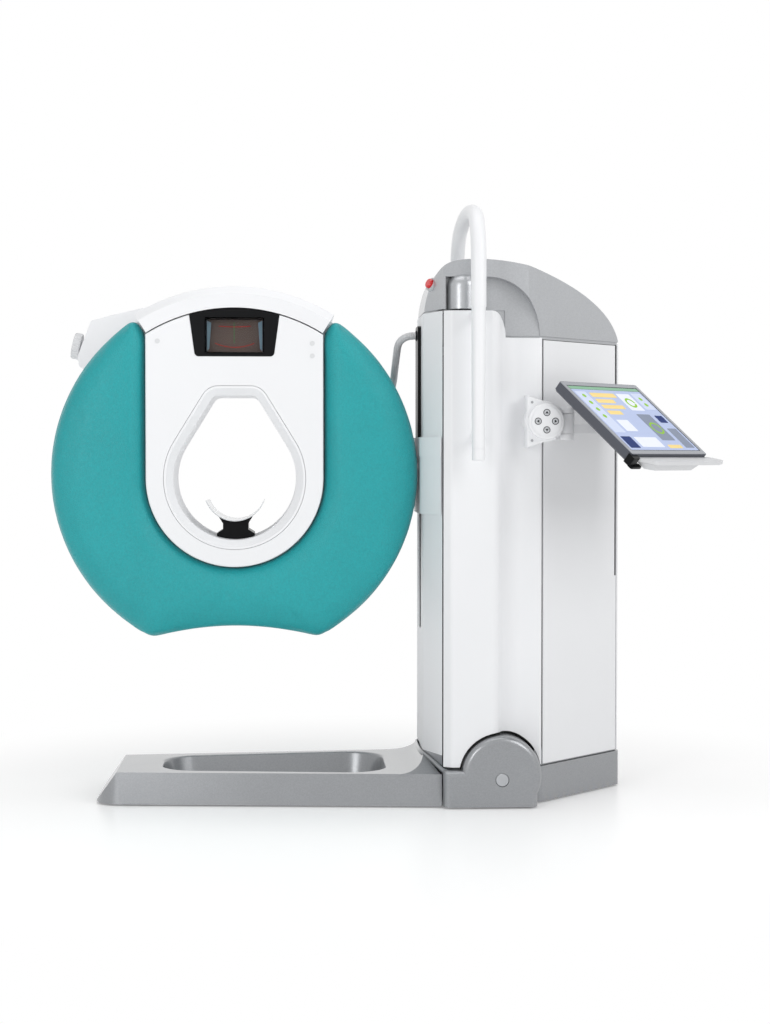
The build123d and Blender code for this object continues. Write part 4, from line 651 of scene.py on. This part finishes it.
def inflate(source, limit):
    """Lets the filling push the cover out, by cloth under pressure, no further than a limit."""
    before = get_points(source.data)
    cloth = source.modifiers.new("filling", "CLOTH")
    cloth.settings.quality = 4
    cloth.settings.use_pressure = True
    cloth.settings.uniform_pressure_force = FILL_PRESSURE
    cloth.settings.vertex_group_mass = "glued"
    cloth.settings.tension_stiffness = COVER_TENSION
    cloth.settings.bending_stiffness = COVER_BENDING
    cloth.settings.effector_weights.gravity = 0.0
    cloth.point_cache.frame_start = 1
    cloth.point_cache.frame_end = FILL_FRAMES
    for number in range(1, FILL_FRAMES + 1):
        bpy.context.scene.frame_set(number)
    after = get_points(evaluated_mesh(source))
    source.modifiers.remove(cloth)
    bpy.context.scene.frame_set(1)
    move = after - before
    far = np.linalg.norm(move, axis=1, keepdims=True)
    set_points(source.data, before + move * np.minimum(1.0, limit / np.maximum(far, 1e-9)))


def even_out(source, rounds):
    """Smooths the mesh's small steps."""
    smooth = source.modifiers.new("smooth", "SMOOTH")
    smooth.factor = 0.5
    smooth.iterations = rounds
    mesh = evaluated_mesh(source)
    source.modifiers.remove(smooth)
    source.data = mesh


def front_pad_mesh():
    """The near pad's mesh: remeshed from its solid, puffed at the border and inflated."""
    sizes = bpy.context.scene.scanner_pads
    shape = bmesh.new()
    shape.from_mesh(frame["nodes"]["front_pad"].data)
    bmesh.ops.remove_doubles(shape, verts=shape.verts, dist=1e-5)
    seed = link_object("pad_seed", finished_mesh("pad_seed", shape))
    remesh = seed.modifiers.new("remesh", "REMESH")
    remesh.mode = "VOXEL"
    remesh.voxel_size = sizes.voxel
    cells = evaluated_mesh(seed)
    seed.modifiers.remove(remesh)
    seed.data = cells
    centre = np.array(at(0, 0, AXIS_HIGH))
    front = (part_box("front_pad")[0].y - centre[1]) / MM
    points = (get_points(cells) - centre) / MM
    set_points(cells, puff_border(points, front, sizes.border / MM, sizes.crown / MM) * MM + centre)
    even_out(seed, 6)
    group = seed.vertex_groups.new(name="glued")
    deep = (get_points(seed.data)[:, 1] - centre[1]) / MM - front
    held = np.nonzero(deep > sizes.border / MM + GLUED_BEHIND)[0]
    group.add([int(i) for i in held], 1.0, "REPLACE")
    inflate(seed, sizes.swell)
    even_out(seed, 4)
    mesh = seed.data.copy()
    bpy.data.objects.remove(seed)
    mesh.shade_smooth()
    return mesh


def mirrored_mesh(mesh, name):
    """A copy of a mesh on the far side of the gantry's middle plane, faces still outwards."""
    copy = mesh.copy()
    copy.name = name
    points = get_points(copy)
    centre = at(0, 0, 0).y
    points[:, 1] = 2 * centre - points[:, 1]
    set_points(copy, points)
    copy.flip_normals()
    return copy


class SCANNER_OT_pads(bpy.types.Operator):
    """Make the two padded covers of the gantry"""
    bl_idname = "scanner.pads"
    bl_label = "Soft pads"

    def execute(self, context):
        near = front_pad_mesh()
        for name, mesh, node in (("soft_pad_front", near, "front_pad"),
                                 ("soft_pad_rear", mirrored_mesh(near, "soft_pad_rear"), "rear_pad")):
            piece = new_piece(name, mesh, finish_of("teal_pad"), "gantry")
            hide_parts(node)
        return {"FINISHED"}


# Hose

# The points that draw the hose's line from the post's head to the gland.
HOSE_POINTS = [(488, 0, 1249), (471, 0, 1249), (452, 8, 1241), (441, 22, 1227), (439, 54, 1197),
               (437, 100, 1163), (436, 150, 1126), (424, 189, 1082), (398, 206, 1030), (358, 206, 981),
               (316, 186, 948), (276, 166, 934), (240, 166, 934)]
HOSE_SIDES = 20


class SCANNER_OT_hose(bpy.types.Operator):
    """Make the cable hose from the post's head to the gland"""
    bl_idname = "scanner.hose"
    bl_label = "Cable hose"

    def execute(self, context):
        wide = context.scene.scanner_trim.hose
        curve = bpy.data.curves.new("cable_hose_line", "CURVE")
        curve.dimensions = "3D"
        curve.resolution_u = 16
        spline = curve.splines.new("NURBS")
        spline.points.add(len(HOSE_POINTS) - 1)
        for point, place in zip(spline.points, HOSE_POINTS):
            point.co = (*at(*place), 1)
        spline.order_u = 3
        spline.use_endpoint_u = True
        line = link_object("cable_hose_line", curve)
        bpy.context.view_layer.update()
        path = [v.co.copy() for v in evaluated_mesh(line).vertices]
        bpy.data.objects.remove(line)
        mesh = swept_tube("hose", path, wide / 2, HOSE_SIDES)
        piece = finished_object("hose", mesh, finish_of("hose_skin"))
        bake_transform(piece)
        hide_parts("cable_hose")
        return {"FINISHED"}


def swept_tube(name, path, radius, sides):
    """A closed tube along a path, with the distance along it kept as an attribute."""
    shape = bmesh.new()
    across = Vector((0, 1, 0))
    rings, run, runs = [], 0.0, []
    for i, point in enumerate(path):
        ahead = (path[min(i + 1, len(path) - 1)] - path[max(i - 1, 0)]).normalized()
        across = (across - ahead * across.dot(ahead)).normalized()
        other = ahead.cross(across)
        if i:
            run += (point - path[i - 1]).length
        ring = []
        for k in range(sides):
            turn = 2 * math.pi * k / sides
            ring.append(shape.verts.new(point + radius * (across * math.cos(turn) + other * math.sin(turn))))
            runs.append(run)
        rings.append(ring)
    for first, second in zip(rings, rings[1:]):
        for k in range(sides):
            j = (k + 1) % sides
            shape.faces.new((first[k], first[j], second[j], second[k]))
    shape.faces.new(rings[0][::-1])
    shape.faces.new(rings[-1])
    bmesh.ops.recalc_face_normals(shape, faces=shape.faces)
    mesh = finished_mesh(name, shape)
    mesh.attributes.new("along", "FLOAT", "POINT").data.foreach_set("value", runs)
    return soften(mesh, HOSE_SMOOTH_ANGLE)


# Window over the bore

WINDOW_HIGH = 366.0
ROOM_HALF = 74.0
ROOM_TALL = 43.5
ROOM_BACK = -98.0
# The backing's face comes forward towards its two sides; its back is flat.
BACKING_FACE = 4
BACKING_CURVE = 14
BACKING_BACK = 0.5
BACKING_STEPS = 24
# Each aiming arc: the height of its middle, half its width and how far its ends rise.
ARCS = ((24, 42, 2), (-30, 52, 11))
ARC_WIDE = 1.5
ARC_STEPS = 12
# The laser line's left, right, low, high and corner radius.
LASER_LINE = (-2.0, -0.4, -20, 35, 0.7)
# One blade's corners: across from the room's middle, then up.
BLADE = ((73, -40), (73, 40), (62, 34), (67, -34))
# How far before the room's back each of them starts and ends.
ARC_AT = (20, 21)
LINE_AT = (22, 23)
BLADE_AT = (16, 18)


def aiming_arc(high, half, rise):
    """The outline of a thin smile-shaped arc."""
    upper = [(half * i / ARC_STEPS, high + rise * (i / ARC_STEPS) ** 2)
             for i in range(-ARC_STEPS, ARC_STEPS + 1)]
    return upper + [(x, y - ARC_WIDE) for x, y in reversed(upper)]


class SCANNER_OT_window(bpy.types.Operator):
    """Make what shows behind the window: the dark inside, two aiming arcs whose glow is painted light, the
    laser line, and the blades, which glow as a painted reflection
    """
    bl_idname = "scanner.window"
    bl_label = "Window inside"

    def execute(self, context):
        place = upright_place(0, ROOM_BACK, AXIS_HIGH + WINDOW_HIGH)
        inside = moulded("varnished_backing_brown", linear("#6B564C"), 0.40, 0.003, 0.0001,
                         mottle=0.35, patch=0.05)
        across = [-ROOM_HALF + 2 * ROOM_HALF * i / BACKING_STEPS for i in range(BACKING_STEPS + 1)]
        backing = [(x, BACKING_CURVE * (x / ROOM_HALF) ** 2 + BACKING_FACE) for x in across]
        backing += [(ROOM_HALF, BACKING_BACK), (-ROOM_HALF, BACKING_BACK)]
        lying = place @ Matrix.Rotation(math.radians(-90), 4, "X")
        plate_piece("window_backing", lying, [(backing, -ROOM_TALL, ROOM_TALL)], inside,
                    "gantry", "black_plastic")
        # The etched arcs glow faintly: painted light.
        plate_piece("window_arcs", place, [(aiming_arc(*row), *ARC_AT) for row in ARCS],
                    lit_panel("etched_line_red_painted_glow", "#C02A24", 0.25), "gantry", "red_button")
        plate_piece("window_line", place, [(round_rect(*LASER_LINE), *LINE_AT)],
                    lit_panel("laser_line_green", "#4E7A4C", 0.25), "gantry", "grey_button")
        # The blades glow bluish white as a painted reflection.
        left = [(-x, y) for x, y in BLADE]
        plate_piece("window_blades", place, [(left, *BLADE_AT), (BLADE[::-1], *BLADE_AT)],
                    lit_panel("anodised_blade_blue_painted_reflection", "#7E97A3", 0.15, 0.3), "gantry", "steel")
        return {"FINISHED"}


# Touch screen's picture

SCREEN_ORIGIN = (1043.36, -241.93, 1020.0)
SCREEN_ALONG = Vector((0.70010, 0.71405, 0))
SCREEN_UP = Vector((-0.54859, 0.53787, 0.64011))


def screen_place():
    """A matrix on the screen's glass: X along its width, Y up its slope, Z out of it."""
    out = SCREEN_ALONG.cross(SCREEN_UP)
    turn = Matrix((SCREEN_ALONG, SCREEN_UP, out)).transposed().to_4x4()
    return Matrix.Translation(at(*SCREEN_ORIGIN)) @ turn @ Matrix.Scale(MM, 4)


# Each tile of the picture: colour, glow, then left, right, low, high and corner radius.
TILES = {
    "top_bar": ("#8DB79A", 0.12, [(-158, 158, 118, 130, 1)]),
    "ground": ("#B7C3E2", 0.14, [(-158, 158, -130, 117, 1)]),
    "side_list": ("#CFD8EE", 0.14, [(-152, -104, -60, 108, 3), (104, 152, 40, 108, 3)]),
    "yellow_bars": ("#F1D790", 0.14, [(-92, 20, 86, 104, 3), (-92, -10, 62, 78, 3), (-92, 8, 38, 54, 3),
                                      (-92, -30, 14, 30, 3), (30, 92, -122, -108, 3)]),
    "navy_block": ("#22366F", 0.08, [(-150, -106, -122, -76, 3), (110, 146, -16, 14, 3)]),
    "white_boxes": ("#E9EDF7", 0.14, [(30, 92, 34, 104, 3), (-92, -40, -54, -8, 3), (-92, 10, -118, -78, 3)]),
    "grey_panel": ("#8A93A6", 0.10, [(30, 92, -90, 18, 3), (108, 150, -120, -40, 3)]),
}
# Heights over the glass: the two tiles that fill the screen, the tiles on them, the rings and dots.
GROUND_TILES = 2
GROUND_LEVEL = 0.02
TILE_LEVEL = 0.2
MARK_LEVEL = 0.42
TILE_THICK = 0.2
# Each ring: its middle, its outer and its inner radius. Each dot: its middle.
RINGS = ((61, 66, 20, 13), (61, -40, 24, 18))
RING_SWEEP = 350
DOTS = ((-126, 90), (-126, 62), (-126, 34), (-126, 6), (127, 84), (127, 60))
DOT_R = 7
# The bezel's four bars: left, right, low and high.
BEZEL = ((-174, -160.5, -146, 146), (160.5, 174, -146, 146), (-160.5, 160.5, 132.5, 146),
         (-160.5, 160.5, -146, -132.5))
BEZEL_ROUND = 2
BEZEL_THICK = 0.8
# Each clip: left, right, low, high and corner radius, then how far behind the glass it starts and ends.
CLIPS = (((-178.5, -149, -160, -138, 3), -29, -3), ((-172, -126, -166, -150, 5), -33, -27),
         ((78, 104, -178, -166, 4), -18, -12))


# The hollow boss under the shelf, on the screen's axes: its rim against the shelf, then its floor.
SHELF_KEEL = [(-146, -150, -19.5), (100, -150, -19.5), (84, -192, 3), (-132, -192, 3),
              (-112, -164, -34), (75, -164, -34), (66, -190, -19), (-104, -190, -19)]


class SCANNER_OT_screen(bpy.types.Operator):
    """Make the touch screen's plain picture, its bezel band, its clips and the boss under its shelf"""
    bl_idname = "scanner.screen"
    bl_label = "Touch screen"

    def execute(self, context):
        place = screen_place()
        for level, (name, (code, glow, rows)) in enumerate(TILES.items()):
            low = GROUND_LEVEL if level < GROUND_TILES else TILE_LEVEL
            plate_piece("picture_" + name, place, [(round_rect(*row), low, low + TILE_THICK) for row in rows],
                        lit_panel("display_" + name, code, glow), "screen", "glass")
        marks = (MARK_LEVEL, MARK_LEVEL + TILE_THICK)
        shape = bmesh.new()
        for x, y, outer, inner in RINGS:
            add_ring(shape, place @ Matrix.Translation((x, y, 0)), outer, inner, RING_SWEEP, *marks)
        for x, y in DOTS:
            add_plate(shape, round_dot(x, y, DOT_R), place, *marks)
        shape_piece("picture_rings", shape, lit_panel("display_rings", "#8FBF3C", 0.2), "screen", "glass")
        grey = moulded("moulded_abs_bezel", linear("#9FA2A8"), 0.35, 0.0012, 0.0001)
        bars = [(round_rect(*bar, BEZEL_ROUND), 0.0, BEZEL_THICK) for bar in BEZEL]
        plate_piece("screen_bezel", place, bars, grey, "screen", "dark_case")
        plate_piece("screen_clips", place, [(round_rect(*clip), low, high) for clip, low, high in CLIPS],
                    finish_of("black_plastic"), "screen", "black_plastic")
        # The boss under the shelf takes the shelf's greyer white, painted shade.
        shape = bmesh.new()
        add_block(shape, SHELF_KEEL, place)
        shape_piece("shelf_keel", shape, finish_of("shelf"), "screen", "white_cover", KEEL_SMOOTH_ANGLE)
        return {"FINISHED"}


# Arrow pad

CONTROL_X = 812.0
CONTROL_Z = 1012.0
CONTROL_FACE = -260.0
ARROW_CIRCLE = 22.5
ARROWS = {"up": 90, "left": 180, "down": 270, "right": 0}
# A mark's corners, and how far before its button's face it starts and ends.
ARROW_MARK = ((-4.4, -2.6), (4.4, -2.6), (0, 4.2))
ARROW_MARK_AT = (-0.1, 0.3)
BUTTON_PROUD = 3
RIM_INNER = 7.5
RIM_AT = (-0.2, 0.6)
# A ring that stops just short of a full turn keeps its two ends apart.
RIM_SWEEP = 359.9
RIM_STEPS = 32


class SCANNER_OT_controls(bpy.types.Operator):
    """Make the arrow marks and the rims of the hand controls"""
    bl_idname = "scanner.controls"
    bl_label = "Hand controls"

    def execute(self, context):
        dark = moulded("printed_ink_dark", linear("#2B2D31"), 0.5, 0.002, 0.00005)
        outer = context.scene.scanner_trim.rim / MM
        rims = bmesh.new()
        for name, turn in ARROWS.items():
            way = math.radians(turn)
            x = CONTROL_X + ARROW_CIRCLE * math.cos(way)
            z = CONTROL_Z + ARROW_CIRCLE * math.sin(way)
            place = upright_place(x, CONTROL_FACE - BUTTON_PROUD, z)
            spin = Matrix.Rotation(way - math.pi / 2, 4, "Z")
            plate_piece("arrow_mark_" + name, place @ spin, [(ARROW_MARK, *ARROW_MARK_AT)], dark,
                        "arrow_" + name, "grey_button")
            place = upright_place(x, CONTROL_FACE, z)
            add_ring(rims, place, outer, RIM_INNER, RIM_SWEEP, *RIM_AT, RIM_STEPS)
        shape_piece("button_rims", rims, dark, "stand", "black_plastic")
        return {"FINISHED"}


# Studs, screws and trim

# The plugs on the front cover, from the gantry's centre, and the screws on the bracket.
PLUGS = ((-202, 350), (205, 345), (205, 312))
PLUG_PROUD = 3.0
SCREWS = ((777, -232.4, 1062), (777, -232.4, 962))
SCREW_PROUD = 1.0


class SCANNER_OT_studs(bpy.types.Operator):
    """Make the round plugs of the front cover and the small screws of the bracket"""
    bl_idname = "scanner.studs"
    bl_label = "Plugs and screws"

    def execute(self, context):
        trim = context.scene.scanner_trim
        tree = stud_tree()
        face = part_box("front_cover")[0].y - ORIGIN.y
        plugs = [at(x, face / MM + 0.1, AXIS_HIGH + z) for x, z in PLUGS]
        grow_piece("cover_plugs", point_mesh("cover_plugs", plugs), tree,
                   {"Radius": trim.plug / 2, "Proud": PLUG_PROUD * MM, "Finish": finish_of("white_knob")},
                   "gantry")
        screws = [at(*screw) for screw in SCREWS]
        grow_piece("bracket_screws", point_mesh("bracket_screws", screws), tree,
                   {"Radius": trim.screw / 2, "Proud": SCREW_PROUD * MM, "Finish": finish_of("machine_grey")},
                   "stand")
        return {"FINISHED"}


# The near half of the band's line, from the middle of the foot outwards.
BAND_HALF_PATH = [(494, 0, 128), (494, -60, 128), (496, -92, 127), (503, -116, 124), (515, -146, 118),
                  (527, -176, 110), (538, -204, 102), (548, -226, 96), (560, -240, 92)]


# The tub's end beside the near wheel cover: its outer face, then its inner face.
TUB_END = [(522.5, -220.4, 86.8), (543.2, -220.4, 86.8), (543.2, -236, 5.5), (537, -236, 5.5),
           (522.5, -205, 86.8), (543.2, -205, 86.8), (543.2, -221, 5.5), (537, -221, 5.5)]
TUB_END_BEVEL = 1.5


class SCANNER_OT_base_band(bpy.types.Operator):
    """Make the rounded grey band that sweeps round the column's foot, and the tub's two end caps"""
    bl_idname = "scanner.base_band"
    bl_label = "Base band"

    def execute(self, context):
        band = context.scene.scanner_trim.band
        half = [Vector(p) for p in BAND_HALF_PATH]
        far = [Vector((p.x, -p.y, p.z)) for p in half[1:]]
        line = [at(*p) for p in reversed(far)] + [at(*p) for p in half]
        grow_piece("base_band", point_mesh("base_band", smooth_line(line), joined=True), trim_tree(),
                   {"Height": band, "Finish": finish_of("grey_base")}, "stand")
        place = Matrix.Translation(at(0, 0, 0)) @ Matrix.Scale(MM, 4)
        shape = bmesh.new()
        for side in (1, -1):
            add_block(shape, [(x, y * side, z) for x, y, z in TUB_END], place, TUB_END_BEVEL)
        shape_piece("tub_ends", shape, finish_of("grey_base"), "stand", "grey_base")
        return {"FINISHED"}


def smooth_line(points, rounds=2):
    """Rounds a line's corners by cutting each one, a few times over."""
    for _ in range(rounds):
        out = [points[0]]
        for first, second in zip(points, points[1:]):
            out += [first.lerp(second, 0.25), first.lerp(second, 0.75)]
        points = out + [points[-1]]
    return points


# Finishes of the CAD nodes

# Nodes that wear another finish than the one of their slot.
# The shelf wears a greyer white, painted shade.
OWN_FINISH = {"screen_shelf": "shelf"}


class SCANNER_OT_finishes(bpy.types.Operator):
    """Give every rigid node the finish of its slot"""
    bl_idname = "scanner.finishes"
    bl_label = "Finishes"

    def execute(self, context):
        MATERIALS.update(build_materials())
        for row in frame["record"]["subparts"]:
            node = frame["nodes"][row["node"]]
            if not node.material_slots:
                raise RuntimeError(f"{row['node']} has no material slot")
            for place in node.material_slots:
                place.link = "OBJECT"
                place.material = finish_of(OWN_FINISH.get(row["node"], row["material_slot"]))
        return {"FINISHED"}


# Studio

CAMERA_AT = (137, -5108, 914)
CAMERA_DOWN = 1.62
CAMERA_TURN = -3.0
LENS = 65.95
SENSOR = 36.0
# Each lamp: its place and what it faces, its width and height in metres, and its power in watts.
LAMPS = {
    "key_right": ((3000, -2600, 2700), (400, 0, 800), (2.2, 2.2), 52),
    "fill_left": ((-1500, -2900, 1600), (0, 0, 900), (1.2, 1.6), 27),
    "top": ((300, -300, 3600), (300, 0, 0), (2.6, 2.0), 22),
}
WORLD_LIGHT = 0.40
# The floor, in metres: its half width, and how far out its fade to white starts and ends.
FLOOR_HALF = 12.0
FADE_NEAR = 0.7
FADE_FAR = 1.7
FLOOR_GLOW = 0.17


def soft_lamp(name, place, target, size, power):
    """Adds a large soft area lamp turned to a point."""
    data = bpy.data.lights.new(name, "AREA")
    data.shape = "RECTANGLE"
    data.size, data.size_y = size
    data.energy = power
    lamp = link_object(name, data)
    lamp.location = at(*place)
    lamp.rotation_euler = (at(*target) - lamp.location).to_track_quat("-Z", "Y").to_euler()


def seen_rays(tree):
    """1 for rays from the camera, a mirror or a clear pane."""
    rays = add_node(tree, "ShaderNodeLightPath")
    total = rays.outputs["Is Camera Ray"]
    for name in ("Is Glossy Ray", "Is Transmission Ray"):
        total = add_node(tree, "ShaderNodeMath", links={0: total, 1: rays.outputs[name]},
                         operation="MAXIMUM").outputs[0]
    return total


def pale_world():
    """A world that lights softly and shows as white."""
    world = bpy.data.worlds.new("studio_white")
    bpy.context.scene.world = world
    world.use_nodes = True
    tree = world.node_tree
    tree.nodes.clear()
    soft = add_node(tree, "ShaderNodeBackground", {"Color": (1, 1, 1, 1), "Strength": WORLD_LIGHT})
    seen = add_node(tree, "ShaderNodeBackground", {"Color": (1, 1, 1, 1), "Strength": 1.0})
    mix = add_node(tree, "ShaderNodeMixShader", links={
        0: seen_rays(tree), 1: soft.outputs[0], 2: seen.outputs[0]})
    add_node(tree, "ShaderNodeOutputWorld", links={"Surface": mix.outputs[0]})


def pale_floor():
    """A plain pale floor that keeps the object's shadow and runs out into white."""
    mesh = bpy.data.meshes.new("floor")
    corners = [(x * FLOOR_HALF, y * FLOOR_HALF, 0) for x, y in ((-1, -1), (1, -1), (1, 1), (-1, 1))]
    mesh.from_pydata(corners, [], [(0, 1, 2, 3)])
    material, tree, shader, where = blank("studio_paper")
    cloud = noise(tree, where, 1.0, 2.0)
    feed(tree, shader, {"Base Color": tint(tree, cloud, linear("#FBFBFB"), linear("#FEFEFE"))})
    set_values(shader, {"Roughness": 0.35, "Emission Color": (1, 1, 1, 1), "Emission Strength": FLOOR_GLOW})
    away = add_node(tree, "ShaderNodeVectorMath", links={0: where}, operation="LENGTH")
    fade = add_node(tree, "ShaderNodeMapRange", {"From Min": FADE_NEAR, "From Max": FADE_FAR},
                    {"Value": away.outputs["Value"]}, interpolation_type="SMOOTHSTEP")
    white = add_node(tree, "ShaderNodeEmission", {"Strength": 1.0})
    blend = add_node(tree, "ShaderNodeMixShader", links={
        0: fade.outputs["Result"], 1: shader.outputs["BSDF"], 2: white.outputs[0]})
    out = next(n for n in tree.nodes if n.type == "OUTPUT_MATERIAL")
    feed(tree, out, {"Surface": blend.outputs[0]})
    mesh.materials.append(material)
    floor = link_object("floor", mesh)


class SCANNER_OT_studio(bpy.types.Operator):
    """Make the pale floor, the soft light and the camera"""
    bl_idname = "scanner.studio"
    bl_label = "Studio"

    def execute(self, context):
        scene = context.scene
        pale_world()
        pale_floor()
        for name, row in LAMPS.items():
            soft_lamp(name, *row)
        data = bpy.data.cameras.new("camera")
        data.lens = LENS
        data.sensor_width = SENSOR
        camera = link_object("camera", data)
        camera.location = at(*CAMERA_AT)
        camera.rotation_euler = (math.radians(90 - CAMERA_DOWN), 0, math.radians(CAMERA_TURN))
        scene.camera = camera
        scene.view_settings.view_transform = "Standard"
        return {"FINISHED"}


# Add-on

OPERATORS = (SCANNER_OT_finishes, SCANNER_OT_pads, SCANNER_OT_hose, SCANNER_OT_window, SCANNER_OT_screen,
             SCANNER_OT_controls, SCANNER_OT_studs, SCANNER_OT_base_band, SCANNER_OT_studio)


class SCANNER_PT_panel(bpy.types.Panel):
    """Lists the scanner's pieces, sizes and colours"""
    bl_idname = "SCANNER_PT_panel"
    bl_label = "Upright limb scanner"
    bl_space_type = "VIEW_3D"
    bl_region_type = "UI"
    bl_category = "Scanner"

    def draw(self, context):
        for name in GROUPS:
            group = getattr(context.scene, name)
            for key in group.__annotations__:
                self.layout.prop(group, key)
        for operator in OPERATORS:
            self.layout.operator(operator.bl_idname)


GROUPS = {
    "scanner_pads": ScannerPadSizes,
    "scanner_trim": ScannerTrimSizes,
    "scanner_colours": ScannerColours,
}


def register():
    """Registers the classes and adds the settings to the scene."""
    for kind in (*GROUPS.values(), *OPERATORS, SCANNER_PT_panel):
        bpy.utils.register_class(kind)
    for name, group in GROUPS.items():
        setattr(bpy.types.Scene, name, bpy.props.PointerProperty(type=group))


def unregister():
    """Takes the settings and the classes away again."""
    for name in GROUPS:
        delattr(bpy.types.Scene, name)
    for kind in (SCANNER_PT_panel, *reversed(OPERATORS), *GROUPS.values()):
        bpy.utils.unregister_class(kind)


def main():
    """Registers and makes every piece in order."""
    register()
    for operator in OPERATORS:
        group, name = operator.bl_idname.split(".")
        getattr(getattr(bpy.ops, group), name)()
    bpy.context.view_layer.update()


if __name__ == "__main__":
    main()
